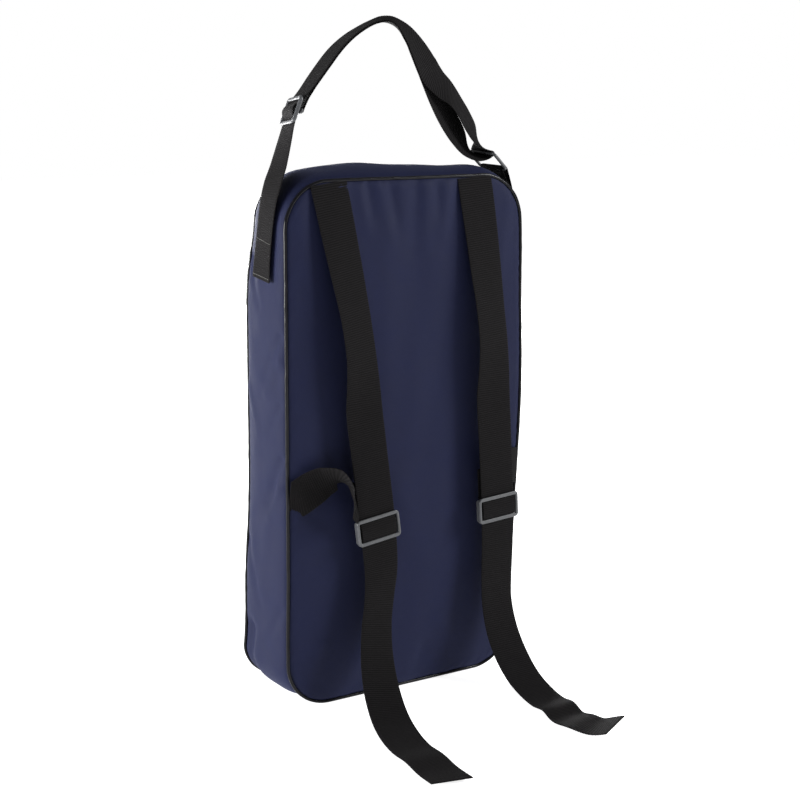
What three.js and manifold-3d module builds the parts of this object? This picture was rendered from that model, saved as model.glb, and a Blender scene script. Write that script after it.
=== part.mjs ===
// A tall, slim golf shoe bag of navy polyester with two back straps and a carry strap over its top.
// Millimetres, +Z up. The origin is the centre of the base.
// The back panel faces -Y and the zipped front faces +Y.

import * as THREE from 'three';
import { mergeVertices } from 'three/addons/utils/BufferGeometryUtils.js';
import Module from 'manifold-3d';

const wasm = await Module();
wasm.setup();

// ---------- driving dimensions ----------

const bagWidth = 254;
const bagHeight = 495;
const bagDepth = 80;
const cornerRadius = 44;
const clothThickness = 2;
const gap = 0.3;
const arcSteps = 10;
const straightSteps = 8;

const pipingWidth = 3.2;
const pipingChamfer = 0.8;
const bindingThickness = 1.5;
const bindingWidth = 10;
const boardThickness = 2;

const webbingWidth = 38;
const webbingThickness = 1.2;
const webbingPlay = 0.05;

// The zip is an upside-down U in the front. Its teeth, tapes and slot lie about one centre line.
const zipInset = 24;
const zipCornerRadius = 28;
const zipSlotHalf = 5.5;
const coilHalfInner = 0.8;
const coilHalfOuter = 3;
const coilThickness = 2;
const tapeOuter = 13;
const tapeThickness = 1.3;
const zipTailLength = 20;
const foldHeight = 48;
const flapFoldGap = 0.5;
const stopLength = 2.2;
const stopLip = 0.5;

const sliderLength = 11;
const sliderWidth = 10;
const sliderPlate = 1.2;
const sliderWeb = 1;
const bridgeRise = 4.2;
const bridgeWidth = 2.4;
const bridgeBar = 0.9;
const bridgeFoot = 8;
const bridgeTop = 5.2;
const pullLength = 27;
const pullWidth = 7;
const pullThickness = 1.2;
const pullEndFlat = 0.2;
const pullEye = 4.2;
const pullEyeMargin = 1.2;

const glideLength = 26;
const glideSideGap = 1;
const glideBarDepth = 1.8;
const glideRail = 3;
const glideEndBar = 3.5;
const glideCentreBar = 4.4;
const glideRound = 4;
const glideBevel = 0.6;

const ringLength = 24;
const ringBar = 3;
const ringRound = 5;
const ringBevel = 0.5;

// Places on the carry strap: inwards from the bag's side, up from its top, lean in degrees from upright.
const carrySewnDrop = 90;
const carrySwingDrop = 40;
const carryLeaveDrop = 6;
const carryGlideAt = { inwards: 31, above: 58, lean: 21.8 };
const carryApexAt = { x: 5, above: 142 };
const carryRingAt = { inwards: 9, above: 9, lean: -45 };
const carrySewnEnd = 14;

// Each back strap's top is placed inwards from the bag's side. It leans as it comes down,
// and its tail swings across the floor and curls at the end.
const backStrapTopInset = 4;
const backStrapStandOff = 18;
const backStrapBow = 165;
const backStrapStraightBottom = 110;
const backStrapReach = 200;
const backStrapFloorRun = 70;
const glideHeight = 172;
const backStraps = [
  { name: 'left', side: -1, topInwards: 44, lean: -0.131, tailSwing: -36, tailCurl: 0 },
  { name: 'right', side: 1, topInwards: 54, lean: -0.068, tailSwing: -2, tailCurl: 14 },
];

const anchorHeight = 203;
const anchorRise = 33;
const anchorLength = 60;
const anchorCreaseLift = 3;
const anchorLoopLength = 42;
const anchorLoopNarrower = 1;

// ---------- sizes worked out from them ----------

const backY = -bagDepth / 2;
const frontY = bagDepth / 2;
const panelInset = pipingWidth + gap;
const bindingInset = clothThickness + gap;
const boardInset = bindingInset + bindingThickness + gap;
const gussetHalf = bagDepth / 2 - pipingWidth - gap;

const zipX = bagWidth / 2 - zipInset;
const zipTop = bagHeight - zipInset;
const zipBottom = foldHeight - zipTailLength;
const zipFaceY = frontY - clothThickness - gap;
const tapeLow = zipFaceY - tapeThickness;
const coilLow = zipFaceY - coilThickness;
const sliderZ = zipBottom + sliderLength / 2 + 2.5;

const halfWebbing = webbingWidth / 2;
const layerStep = (webbingThickness + gap) / 2;
const webbingFaceX = bagWidth / 2 + gap + webbingThickness / 2;
const webbingClear = gap + webbingThickness / 2 + webbingPlay;
const glideWidth = webbingWidth + 2 * glideSideGap + 2 * glideRail;
const ringHoleHalf = (ringLength - ringBar) / 2;
const glideThickness = 2 * (glideBarDepth + webbingThickness + webbingPlay) + 3 * gap;
const glideBackOut = -glideThickness / 2 - webbingClear;

const carrySewnBottom = bagHeight - carrySewnDrop;
const carrySwingHeight = bagHeight - carrySwingDrop;
const carryLeaveHeight = bagHeight - carryLeaveDrop;
const carryGlide = {
  x: -bagWidth / 2 + carryGlideAt.inwards, z: bagHeight + carryGlideAt.above, lean: carryGlideAt.lean };
const carryApex = { x: carryApexAt.x, z: bagHeight + carryApexAt.above };
const carryRing = {
  x: bagWidth / 2 - carryRingAt.inwards, z: bagHeight + carryRingAt.above, lean: carryRingAt.lean };
const backStrapTop = bagHeight - backStrapTopInset;
const backStrapStraightTop = bagHeight - backStrapBow;

// ---------- colours ----------

const navy = { color: 0x2b3057, roughness: 0.75, metalness: 0 };
const pipingBlack = { color: 0x16161a, roughness: 0.35, metalness: 0 };
const webbingBlack = { color: 0x1d1d1e, roughness: 0.85, metalness: 0 };
const plasticGrey = { color: 0x4a4c50, roughness: 0.4, metalness: 0 };
const zipBlack = { color: 0x17181c, roughness: 0.6, metalness: 0 };
const zipMetal = { color: 0x8d8f94, roughness: 0.3, metalness: 0.9 };
const liningBlack = { color: 0x26262a, roughness: 0.9, metalness: 0 };

// ---------- helpers ----------

const root = new THREE.Group();

function addPiece(parent, name, geometry, finish) {
  const mesh = new THREE.Mesh(geometry, new THREE.MeshStandardMaterial(finish));
  mesh.name = name;
  parent.add(mesh);
  return mesh;
}

// The bag's outline seen from the back, drawn in x and height, moved inwards by an inset.
function bagOutline(inset, PathClass = THREE.Shape) {
  const left = -bagWidth / 2 + inset;
  const right = bagWidth / 2 - inset;
  const low = inset;
  const high = bagHeight - inset;
  const r = cornerRadius - inset;
  const outline = new PathClass();
  outline.moveTo(left + r, low);
  outline.lineTo(right - r, low);
  outline.absarc(right - r, low + r, r, -Math.PI / 2, 0, false);
  outline.lineTo(right, high - r);
  outline.absarc(right - r, high - r, r, 0, Math.PI / 2, false);
  outline.lineTo(left + r, high);
  outline.absarc(left + r, high - r, r, Math.PI / 2, Math.PI, false);
  outline.lineTo(left, low + r);
  outline.absarc(left + r, low + r, r, Math.PI, Math.PI * 1.5, false);
  return outline;
}

// A shape drawn in x and height becomes a plate between two y values.
function plate(shape, lowY, highY, bevel = 0) {
  const geometry = new THREE.ExtrudeGeometry(shape, {
    depth: highY - lowY - 2 * bevel,
    curveSegments: arcSteps,
    bevelEnabled: bevel > 0,
    bevelSize: bevel,
    bevelThickness: bevel,
    bevelOffset: -bevel,
    bevelSegments: 1,
  });
  geometry.rotateX(Math.PI / 2);
  geometry.translate(0, highY - bevel, 0);
  return geometry;
}

// A shape drawn in y and height becomes a bar across x, centred on x = 0.
function alongX(shape, width) {
  const options = { depth: width, bevelEnabled: false, curveSegments: arcSteps };
  const geometry = new THREE.ExtrudeGeometry(shape, options);
  const across = new THREE.Matrix4().makeBasis(
    new THREE.Vector3(0, 1, 0), new THREE.Vector3(0, 0, 1), new THREE.Vector3(1, 0, 0));
  geometry.applyMatrix4(across);
  geometry.translate(-width / 2, 0, 0);
  return geometry;
}

function ring(outerInset, innerInset, lowY, highY, bevel = 0) {
  const shape = bagOutline(outerInset);
  shape.holes.push(bagOutline(innerInset, THREE.Path));
  return plate(shape, lowY, highY, bevel);
}

function roundedRectangle(width, height, radius, PathClass = THREE.Shape) {
  const x = width / 2;
  const z = height / 2;
  const shape = new PathClass();
  shape.moveTo(-x + radius, -z);
  shape.absarc(x - radius, -z + radius, radius, -Math.PI / 2, 0, false);
  shape.absarc(x - radius, z - radius, radius, 0, Math.PI / 2, false);
  shape.absarc(-x + radius, z - radius, radius, Math.PI / 2, Math.PI, false);
  shape.absarc(-x + radius, -z + radius, radius, Math.PI, Math.PI * 1.5, false);
  return shape;
}

function boxBetween(low, high) {
  const size = high.map((value, axis) => value - low[axis]);
  const geometry = new THREE.BoxGeometry(...size);
  geometry.translate(...low.map((value, axis) => value + size[axis] / 2));
  return geometry;
}

function toSolid(geometry) {
  const bare = geometry.clone();
  bare.deleteAttribute('normal');
  bare.deleteAttribute('uv');
  const merged = mergeVertices(bare, 1e-4);
  return new wasm.Manifold(new wasm.Mesh({
    numProp: 3,
    vertProperties: new Float32Array(merged.attributes.position.array),
    triVerts: new Uint32Array(merged.index.array),
  }));
}

function toGeometry(solid) {
  const mesh = solid.getMesh();
  const geometry = new THREE.BufferGeometry();
  geometry.setAttribute('position', new THREE.BufferAttribute(mesh.vertProperties, 3));
  geometry.setIndex(new THREE.BufferAttribute(mesh.triVerts, 1));
  return geometry;
}

function cut(body, ...tools) {
  let solid = toSolid(body);
  for (const tool of tools) {
    solid = solid.subtract(toSolid(tool));
  }
  return toGeometry(solid);
}

function join(...bodies) {
  let solid = toSolid(bodies[0]);
  for (const body of bodies.slice(1)) {
    solid = solid.add(toSolid(body));
  }
  return toGeometry(solid);
}

// The points of a line moved sideways, to its left as it runs.
function offsetLine(points, distance) {
  return points.map((point, i) => {
    const before = points[Math.max(i - 1, 0)];
    const after = points[Math.min(i + 1, points.length - 1)];
    const along = new THREE.Vector2().subVectors(after, before).normalize();
    return new THREE.Vector2(point.x - along.y * distance, point.y + along.x * distance);
  });
}

// Webbing seen edge-on: a line of points given the webbing's thickness.
function webbingOutline(points) {
  const leftSide = offsetLine(points, webbingThickness / 2);
  const rightSide = offsetLine(points, -webbingThickness / 2).reverse();
  return new THREE.Shape([...leftSide, ...rightSide]);
}

function curvePoints(path, steps) {
  const points = [];
  for (const point of path.getPoints(steps)) {
    const last = points[points.length - 1];
    if (!last || last.distanceTo(point) > 0.2) {
      points.push(point);
    }
  }
  return points;
}

// Goes straight on in equal steps, so that a piece can be bent sideways along it.
function lineInSteps(path, from, to) {
  for (let i = 1; i <= straightSteps; i += 1) {
    const share = i / straightSteps;
    path.lineTo(from[0] + (to[0] - from[0]) * share, from[1] + (to[1] - from[1]) * share);
  }
}

// A place along a piece that leans from upright, in x and height: up the lean, then out to its left.
function leaning(place, up, out) {
  const angle = THREE.MathUtils.degToRad(place.lean);
  const x = place.x + up * Math.sin(angle) - out * Math.cos(angle);
  const z = place.z + up * Math.cos(angle) + out * Math.sin(angle);
  return new THREE.Vector2(x, z);
}

// ---------- shell ----------

function addShell(bag) {
  addPiece(bag, 'back_panel', plate(bagOutline(panelInset), backY, backY + clothThickness), navy);
  const piping = (lowY) => ring(0, pipingWidth, lowY, lowY + pipingWidth, pipingChamfer);
  addPiece(bag, 'back_piping', piping(backY), pipingBlack);
  addPiece(bag, 'front_piping', piping(frontY - pipingWidth), pipingBlack);

  const wall = ring(0, clothThickness, -gussetHalf, gussetHalf);
  const sideLow = cornerRadius;
  const sideHigh = bagHeight - cornerRadius;
  const far = bagWidth + bagHeight;
  const above = (height) => boxBetween([-far, -far, height], [far, far, far]);
  const below = (height) => boxBetween([-far, -far, -far], [far, far, height]);
  const rightHalf = boxBetween([0, -far, -far], [far, far, far]);
  const leftHalf = boxBetween([-far, -far, -far], [0, far, far]);
  const sides = [above(sideHigh - gap / 2), below(sideLow + gap / 2)];
  addPiece(bag, 'gusset_left', cut(wall, ...sides, rightHalf), navy);
  addPiece(bag, 'gusset_right', cut(wall, ...sides, leftHalf), navy);
  addPiece(bag, 'gusset_top', cut(wall, below(sideHigh + gap / 2)), navy);
  addPiece(bag, 'gusset_base', cut(wall, above(sideLow - gap / 2)), navy);
}

// What holds the cloth in shape: a binding over each seam, a board behind the back panel and one on the base.
function addLining(bag) {
  const bindingOuter = bindingInset + bindingThickness;
  addPiece(bag, 'back_seam_binding',
    ring(bindingInset, bindingOuter, -gussetHalf, -gussetHalf + bindingWidth), liningBlack);
  addPiece(bag, 'front_seam_binding',
    ring(bindingInset, bindingOuter, gussetHalf - bindingWidth, gussetHalf), liningBlack);

  const boardY = backY + clothThickness + gap;
  addPiece(bag, 'back_board', plate(bagOutline(boardInset), boardY, boardY + boardThickness), liningBlack);
  const boardHalf = bagWidth / 2 - cornerRadius;
  addPiece(bag, 'base_board', boxBetween(
    [-boardHalf, boardY + boardThickness + gap, boardInset],
    [boardHalf, tapeLow - gap, boardInset + boardThickness],
  ), liningBlack);
}

// ---------- zip and front flap ----------

// The line of the zip, an upside-down U, moved outwards by an offset, from one foot to the other.
function zipLine(shape, offset, foot, reverse = false) {
  const side = zipX + offset;
  const high = zipTop + offset;
  const r = zipCornerRadius + offset;
  if (reverse) {
    shape.lineTo(-side, foot);
    shape.lineTo(-side, high - r);
    shape.absarc(-side + r, high - r, r, Math.PI, Math.PI / 2, true);
    shape.absarc(side - r, high - r, r, Math.PI / 2, 0, true);
    shape.lineTo(side, foot);
    return shape;
  }
  shape.moveTo(side, foot);
  shape.lineTo(side, high - r);
  shape.absarc(side - r, high - r, r, 0, Math.PI / 2, false);
  shape.absarc(-side + r, high - r, r, Math.PI / 2, Math.PI, false);
  shape.lineTo(-side, foot);
  return shape;
}

function zipBand(outer, inner, foot, lowY, highY) {
  const shape = zipLine(new THREE.Shape(), outer, foot);
  zipLine(shape, inner, foot, true);
  shape.closePath();
  return plate(shape, lowY, highY);
}

function addZipAndFront(bag, flap) {
  const beyond = clothThickness;
  const cutLow = frontY - 2 * clothThickness;
  const cutHigh = frontY + beyond;
  const mouth = plate(zipLine(new THREE.Shape(), zipSlotHalf, foldHeight), cutLow, cutHigh);
  const slots = [-zipX, zipX].map((x) => boxBetween(
    [x - zipSlotHalf, cutLow, zipBottom],
    [x + zipSlotHalf, cutHigh, foldHeight + beyond],
  ));
  const border = plate(bagOutline(panelInset), frontY - clothThickness, frontY);
  addPiece(bag, 'front_border', cut(border, mouth, ...slots), navy);

  const tapeInner = coilHalfOuter + gap;
  const flapFoot = foldHeight + flapFoldGap;
  const tape = (outer, inner, foot) => zipBand(outer, inner, foot, tapeLow, zipFaceY);
  const coil = (outer, inner, foot) => zipBand(outer, inner, foot, coilLow, zipFaceY);
  addPiece(bag, 'zip_tape_bag', tape(tapeOuter, tapeInner, zipBottom), zipBlack);
  addPiece(bag, 'zip_coil_bag', coil(coilHalfOuter, coilHalfInner, zipBottom), zipBlack);
  addPiece(flap, 'zip_tape_flap', tape(-tapeInner, -tapeOuter, flapFoot), zipBlack);
  addPiece(flap, 'zip_coil_flap', coil(-coilHalfInner, -coilHalfOuter, flapFoot), zipBlack);
  addPiece(flap, 'front_flap',
    plate(zipLine(new THREE.Shape(), -zipSlotHalf, flapFoot), frontY - clothThickness, frontY), navy);
}

// Below the fold the flap's side of the zip is sewn down, and a stop closes each foot.
function addZipFoot(bag, name, side) {
  const near = side * (zipX - coilHalfInner);
  const far = side * (zipX - coilHalfOuter);
  addPiece(bag, `zip_coil_tail_${name}`, boxBetween(
    [Math.min(near, far), coilLow, zipBottom],
    [Math.max(near, far), zipFaceY, foldHeight - gap],
  ), zipBlack);

  const stopHalf = coilHalfOuter + stopLip;
  addPiece(bag, `zip_end_stop_${name}`, boxBetween(
    [side * zipX - stopHalf, coilLow - stopLip, zipBottom - gap - stopLength],
    [side * zipX + stopHalf, zipFaceY, zipBottom - gap],
  ), zipMetal);
}

// The slider's two plates are joined by a web between the teeth, with a bridge over the face for the pull.
function addZipSlider(slider, pull) {
  const plateShape = roundedRectangle(sliderWidth, sliderLength, 2);
  const faceLow = zipFaceY + gap;
  const faceHigh = faceLow + sliderPlate;
  const backHigh = coilLow - gap;
  const facePlate = plate(plateShape, faceLow, faceHigh);
  const backPlate = plate(plateShape, backHigh - sliderPlate, backHigh);
  const web = boxBetween(
    [-sliderWeb / 2, backHigh - sliderPlate / 2, 0],
    [sliderWeb / 2, faceHigh - sliderPlate / 2, sliderLength / 2 - 1],
  );

  const bridgeLow = faceHigh - sliderPlate / 2;
  const bridgeHigh = faceHigh + bridgeRise;
  const bridgeShape = taper(bridgeLow, bridgeFoot, bridgeHigh, bridgeTop);
  const holeLow = faceHigh + gap;
  const holeHigh = bridgeHigh - bridgeBar;
  bridgeShape.holes.push(taper(
    holeLow, bridgeFoot - 4 * bridgeBar, holeHigh, bridgeTop - 2 * bridgeBar, THREE.Path));
  const geometry = join(facePlate, backPlate, web, alongX(bridgeShape, bridgeWidth));
  geometry.translate(zipX, 0, sliderZ);
  addPiece(slider, 'zip_slider', geometry, zipMetal);

  const gripShape = roundedRectangle(pullWidth, pullLength, pullWidth / 2 - pullEndFlat / 2);
  const grip = plate(gripShape, -pullThickness / 2, pullThickness / 2);
  const eye = plate(roundedRectangle(pullEye, pullEye, 1), -pullThickness, pullThickness);
  eye.translate(0, 0, pullLength / 2 - pullEyeMargin - pullEye / 2);
  const pullGeometry = cut(grip, eye);
  pullGeometry.translate(zipX, (holeLow + holeHigh) / 2, sliderZ - pullLength / 2 + pullEyeMargin / 2);
  addPiece(pull, 'zip_pull', pullGeometry, zipMetal);
}

// A four-sided shape in y and height, one height wide at its low y and another at its high y.
function taper(lowY, lowHeight, highY, highHeight, PathClass = THREE.Shape) {
  const shape = new PathClass();
  shape.moveTo(lowY, -lowHeight / 2);
  shape.lineTo(highY, -highHeight / 2);
  shape.lineTo(highY, highHeight / 2);
  shape.lineTo(lowY, lowHeight / 2);
  shape.closePath();
  return shape;
}

// ---------- strap adjusters ----------

// A three-bar adjuster, its face towards -Y: the end bars stand at the front and the centre bar at the back,
// so webbing runs straight between them.
function glideGeometry() {
  const half = glideThickness / 2;
  const inner = glideWidth / 2 - glideRail;
  const endLow = glideLength / 2 - glideEndBar;
  const face = -half + glideBarDepth;
  const back = half - glideBarDepth;
  const body = plate(roundedRectangle(glideWidth, glideLength, glideRound), -half, half, glideBevel);
  const channel = boxBetween([-inner, face, -glideLength], [inner, back, glideLength]);
  const behindLow = boxBetween([-inner, 0, -glideLength], [inner, glideThickness, -glideCentreBar / 2]);
  const behindHigh = boxBetween([-inner, 0, glideCentreBar / 2], [inner, glideThickness, glideLength]);
  const window = boxBetween([-inner, -glideThickness, -endLow], [inner, 0, endLow]);
  return cut(body, channel, behindLow, behindHigh, window);
}

function ringGeometry() {
  const shape = roundedRectangle(glideWidth, ringLength, ringRound);
  const innerWidth = glideWidth - 2 * ringBar;
  const innerRound = (innerWidth - webbingWidth) / 2;
  const hole = roundedRectangle(innerWidth, ringLength - 2 * ringBar, innerRound, THREE.Path);
  shape.holes.push(hole);
  return plate(shape, -ringBar / 2, ringBar / 2, ringBevel);
}

// Turns a piece made facing -Y so that it faces -X and leans from upright in the x and height plane.
function placeOnCarryStrap(geometry, place) {
  geometry.rotateZ(-Math.PI / 2);
  geometry.rotateY(THREE.MathUtils.degToRad(place.lean));
  geometry.translate(place.x, 0, place.z);
  return geometry;
}

// The turn of webbing round a bar, from the front of the bar to its back, below it.
function turnRoundBar(place, barUp, frontOut, backOut, direction) {
  const radius = (frontOut - backOut) / 2;
  const middle = (frontOut + backOut) / 2;
  const points = [];
  const steps = 8;
  for (let i = 0; i <= steps; i += 1) {
    const angle = (Math.PI * i) / steps;
    const up = barUp - direction * Math.abs(radius) * Math.sin(angle);
    points.push(leaning(place, up, middle + radius * Math.cos(angle)));
  }
  return points;
}

// ---------- carry strap ----------

// The sewn end of webbing on the side of the bag, below the foot on which the rest of it turns.
function sewnEnd(x) {
  return boxBetween(
    [x - webbingThickness / 2, -halfWebbing, carrySewnBottom],
    [x + webbingThickness / 2, halfWebbing, carrySwingHeight - halfWebbing - gap],
  );
}

// The rounded foot of webbing, laid flat against the side of the bag.
function roundFoot(x) {
  const shape = new THREE.Shape();
  shape.moveTo(halfWebbing, 0);
  shape.absarc(0, 0, halfWebbing, 0, -Math.PI, true);
  shape.closePath();
  const geometry = alongX(shape, webbingThickness);
  geometry.translate(x, 0, carrySwingHeight);
  return geometry;
}

// Webbing that rises from the side of the bag, goes through the adjuster, over the top and round the ring,
// comes back under itself and is sewn round the adjuster's centre bar.
function carryStrapLine(footTop) {
  const rise = new THREE.Path();
  rise.moveTo(-webbingFaceX, footTop);
  rise.lineTo(-webbingFaceX, carryLeaveHeight);
  const entry = leaning(carryGlide, -glideLength / 2 - 5, layerStep);
  const entryPull = leaning(carryGlide, -glideLength / 2 - 27, layerStep);
  const exit = leaning(carryGlide, glideLength / 2 + 6, layerStep);
  rise.bezierCurveTo(-webbingFaceX, carryLeaveHeight + 14, entryPull.x, entryPull.y, entry.x, entry.y);
  rise.lineTo(exit.x, exit.y);

  const arch = new THREE.Path();
  const archStart = leaning(carryGlide, glideLength / 2 + 6, 0);
  const archPull = leaning(carryGlide, glideLength / 2 + 40, 0);
  const ringEntry = leaning(carryRing, ringHoleHalf + 12, 0);
  const ringPull = leaning(carryRing, ringHoleHalf + 24, 0);
  arch.moveTo(archStart.x, archStart.y);
  arch.bezierCurveTo(archPull.x, archPull.y, carryApex.x - 30, carryApex.z, carryApex.x, carryApex.z);
  arch.bezierCurveTo(carryApex.x + 9, carryApex.z, ringPull.x, ringPull.y, ringEntry.x, ringEntry.y);
  const archPoints = curvePoints(arch, 14);
  const outerLayer = offsetLine(archPoints, layerStep);
  const innerLayer = offsetLine(archPoints, -layerStep).reverse();

  const ringTurn = ringBar / 2 + webbingClear + webbingPlay;
  return [
    ...curvePoints(rise, 10),
    ...outerLayer.slice(1),
    ...turnRoundBar(carryRing, ringHoleHalf, -ringTurn, ringTurn, 1),
    ...innerLayer.slice(0, -1),
    leaning(carryGlide, glideLength / 2 + 4, -layerStep),
    ...turnRoundBar(carryGlide, -glideCentreBar / 2, -layerStep, glideBackOut, 1),
    leaning(carryGlide, carrySewnEnd, glideBackOut),
  ];
}

// The tab rises from the other side of the bag and turns inwards round the ring's lower bar.
function carryTabLine(footTop) {
  const lowBar = leaning(carryRing, -ringHoleHalf, 0);
  const turn = ringBar * Math.SQRT1_2 + gap + webbingThickness / 2;
  const line = new THREE.Path();
  line.moveTo(webbingFaceX, footTop);
  line.lineTo(webbingFaceX, carryLeaveHeight);
  const bar = { x: lowBar.x, z: lowBar.y, lean: 0 };
  return [...curvePoints(line, 4), ...turnRoundBar(bar, 0, -turn, turn, -1)];
}

function addCarryStrap(bag, strap) {
  addPiece(bag, 'carry_strap_sewn_end', sewnEnd(-webbingFaceX), webbingBlack);
  addPiece(bag, 'carry_tab_sewn_end', sewnEnd(webbingFaceX), webbingBlack);

  const footTop = carrySwingHeight - gap;
  const strapBody = plate(webbingOutline(carryStrapLine(footTop)), -halfWebbing, halfWebbing);
  const tabBody = plate(webbingOutline(carryTabLine(footTop)), -halfWebbing, halfWebbing);
  addPiece(strap, 'carry_strap', join(strapBody, roundFoot(-webbingFaceX)), webbingBlack);
  addPiece(strap, 'carry_tab', join(tabBody, roundFoot(webbingFaceX)), webbingBlack);
  addPiece(strap, 'carry_strap_adjuster', placeOnCarryStrap(glideGeometry(), carryGlide), plasticGrey);
  addPiece(strap, 'carry_strap_ring', placeOnCarryStrap(ringGeometry(), carryRing), plasticGrey);
}

// ---------- back straps ----------

// Moves each point of a piece across the bag by an amount worked out from its y and height.
function bendSideways(geometry, shift) {
  const position = geometry.attributes.position;
  for (let i = 0; i < position.count; i += 1) {
    position.setX(i, position.getX(i) + shift(position.getY(i), position.getZ(i)));
  }
}

const strapFaceY = backY - gap - webbingThickness / 2;
const strapHangY = strapFaceY - backStrapStandOff + layerStep;
const strapEndY = backY - backStrapReach;

// How far across the bag a back strap is at a height of its hanging part.
function strapX(strap, z) {
  const topX = strap.side * (bagWidth / 2 - strap.topInwards);
  return topX + strap.lean * (z - backStrapTop);
}

// The strap from the side: it bows away from the back panel, hangs straight, then lies along the floor.
function backStrapGeometry(strap) {
  const floorZ = webbingThickness / 2 + webbingPlay;
  const floorY = strapEndY + backStrapFloorRun;
  const side = new THREE.Path();
  side.moveTo(strapFaceY, backStrapTop);
  side.bezierCurveTo(strapFaceY, backStrapTop - 60, strapHangY, backStrapStraightTop + 60,
    strapHangY, backStrapStraightTop);
  lineInSteps(side, [strapHangY, backStrapStraightTop], [strapHangY, backStrapStraightBottom]);
  side.bezierCurveTo(strapHangY, 40, floorY + 55, floorZ, floorY, floorZ);
  lineInSteps(side, [floorY, floorZ], [strapEndY, floorZ]);
  const geometry = alongX(webbingOutline(curvePoints(side, 12)), webbingWidth);
  bendSideways(geometry, (y, z) => {
    const across = strapX(strap, Math.max(z, backStrapStraightBottom));
    const outwards = THREE.MathUtils.clamp((strapHangY - y) / (strapHangY - strapEndY), 0, 1);
    const low = z < backStrapStraightBottom ? outwards : 0;
    return across + strap.tailSwing * low + strap.tailCurl * low ** 4;
  });
  return geometry;
}

// Turns a piece to the strap's lean and sets it where the adjuster hangs on the strap.
function placeOnBackStrap(geometry, strap) {
  geometry.rotateY(Math.atan(strap.lean));
  geometry.translate(strapX(strap, glideHeight), strapHangY + layerStep, glideHeight);
  return geometry;
}

// The end of the lower anchor webbing, sewn round the adjuster's centre bar.
function anchorLoopGeometry() {
  const bar = { x: 0, z: 0, lean: 0 };
  const line = [
    leaning(bar, glideLength / 2, -layerStep),
    ...turnRoundBar(bar, -glideCentreBar / 2, -layerStep, glideBackOut, 1),
    leaning(bar, anchorLoopLength, glideBackOut),
  ];
  return alongX(webbingOutline(line), webbingWidth - anchorLoopNarrower);
}

// Webbing sewn into the side seam, rising inwards across the back panel to a crease.
function anchorGeometry(side) {
  const seamX = bagWidth / 2 - panelInset - gap;
  const rise = THREE.MathUtils.degToRad(anchorRise);
  const halfCut = halfWebbing / Math.cos(rise);
  const innerX = seamX - anchorLength;
  const innerZ = anchorHeight + anchorLength * Math.tan(rise);
  const shape = new THREE.Shape();
  shape.moveTo(side * seamX, anchorHeight - halfCut);
  shape.lineTo(side * innerX, innerZ - halfCut);
  shape.lineTo(side * (innerX + halfWebbing / 5), innerZ);
  shape.lineTo(side * (innerX + halfWebbing), innerZ + anchorCreaseLift);
  shape.lineTo(side * seamX, anchorHeight + halfCut);
  shape.closePath();
  return plate(shape, backY - gap - webbingThickness, backY - gap);
}

function addBackStrap(bag, body, adjusterBody, strap) {
  const { name, side } = strap;
  addPiece(body, `back_strap_${name}`, backStrapGeometry(strap), webbingBlack);
  const glide = placeOnBackStrap(glideGeometry(), strap);
  const loop = placeOnBackStrap(anchorLoopGeometry(), strap);
  addPiece(adjusterBody, `back_strap_adjuster_${name}`, glide, plasticGrey);
  addPiece(adjusterBody, `lower_anchor_loop_${name}`, loop, webbingBlack);
  addPiece(bag, `lower_anchor_${name}`, anchorGeometry(side), webbingBlack);
}

// ---------- assembly ----------

function addGroup() {
  const group = new THREE.Group();
  root.add(group);
  return group;
}

const bag = addGroup();
const flap = addGroup();
const zipSlider = addGroup();
const zipPull = addGroup();
const carryStrap = addGroup();

addShell(bag);
addLining(bag);
addZipAndFront(bag, flap);
addZipFoot(bag, 'left', -1);
addZipFoot(bag, 'right', 1);
addZipSlider(zipSlider, zipPull);
addCarryStrap(bag, carryStrap);
for (const strap of backStraps) {
  addBackStrap(bag, addGroup(), addGroup(), strap);
}

export default root;
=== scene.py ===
"""A golf shoe bag of navy cloth with black piping and webbing, grey adjusters and a zipped front.

Metres, +Z up. The back panel faces -Y and the zipped front +Y. Run as a script, it builds every piece
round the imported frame, then the floor, the lights and the camera.
"""

import math

import bmesh
import bpy
import numpy as np
from bpy.props import FloatProperty, FloatVectorProperty, PointerProperty
from mathutils import Matrix, Vector


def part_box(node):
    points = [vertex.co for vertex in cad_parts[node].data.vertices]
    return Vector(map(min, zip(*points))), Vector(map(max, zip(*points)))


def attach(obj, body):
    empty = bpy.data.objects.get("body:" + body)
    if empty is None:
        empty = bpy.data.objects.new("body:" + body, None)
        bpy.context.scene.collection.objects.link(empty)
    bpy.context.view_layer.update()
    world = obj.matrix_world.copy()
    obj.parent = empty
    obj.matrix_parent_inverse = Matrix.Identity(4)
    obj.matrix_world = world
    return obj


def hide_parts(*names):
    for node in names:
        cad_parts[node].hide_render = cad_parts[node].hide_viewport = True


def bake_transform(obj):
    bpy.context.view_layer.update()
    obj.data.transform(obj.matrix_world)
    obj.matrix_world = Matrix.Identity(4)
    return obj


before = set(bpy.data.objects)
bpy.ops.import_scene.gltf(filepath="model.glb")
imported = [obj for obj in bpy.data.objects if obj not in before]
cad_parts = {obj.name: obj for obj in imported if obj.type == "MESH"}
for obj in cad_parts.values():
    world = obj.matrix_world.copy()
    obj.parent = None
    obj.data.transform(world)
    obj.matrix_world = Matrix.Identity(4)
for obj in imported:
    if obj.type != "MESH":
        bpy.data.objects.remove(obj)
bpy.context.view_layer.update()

bl_info = {
    "name": "Golf Shoe Bag",
    "version": (1, 0, 0),
    "blender": (4, 5, 0),
    "location": "View3D > Sidebar > Shoe Bag",
    "description": "Builds a zipped cloth shoe bag with webbing straps round its packed frame",
    "category": "Object",
}

MM = 0.001
Y_AXIS = np.array([0.0, 1.0, 0.0])
Z_AXIS = np.array([0.0, 0.0, 1.0])


# ---------- sizes that come from the frame ----------

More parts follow.
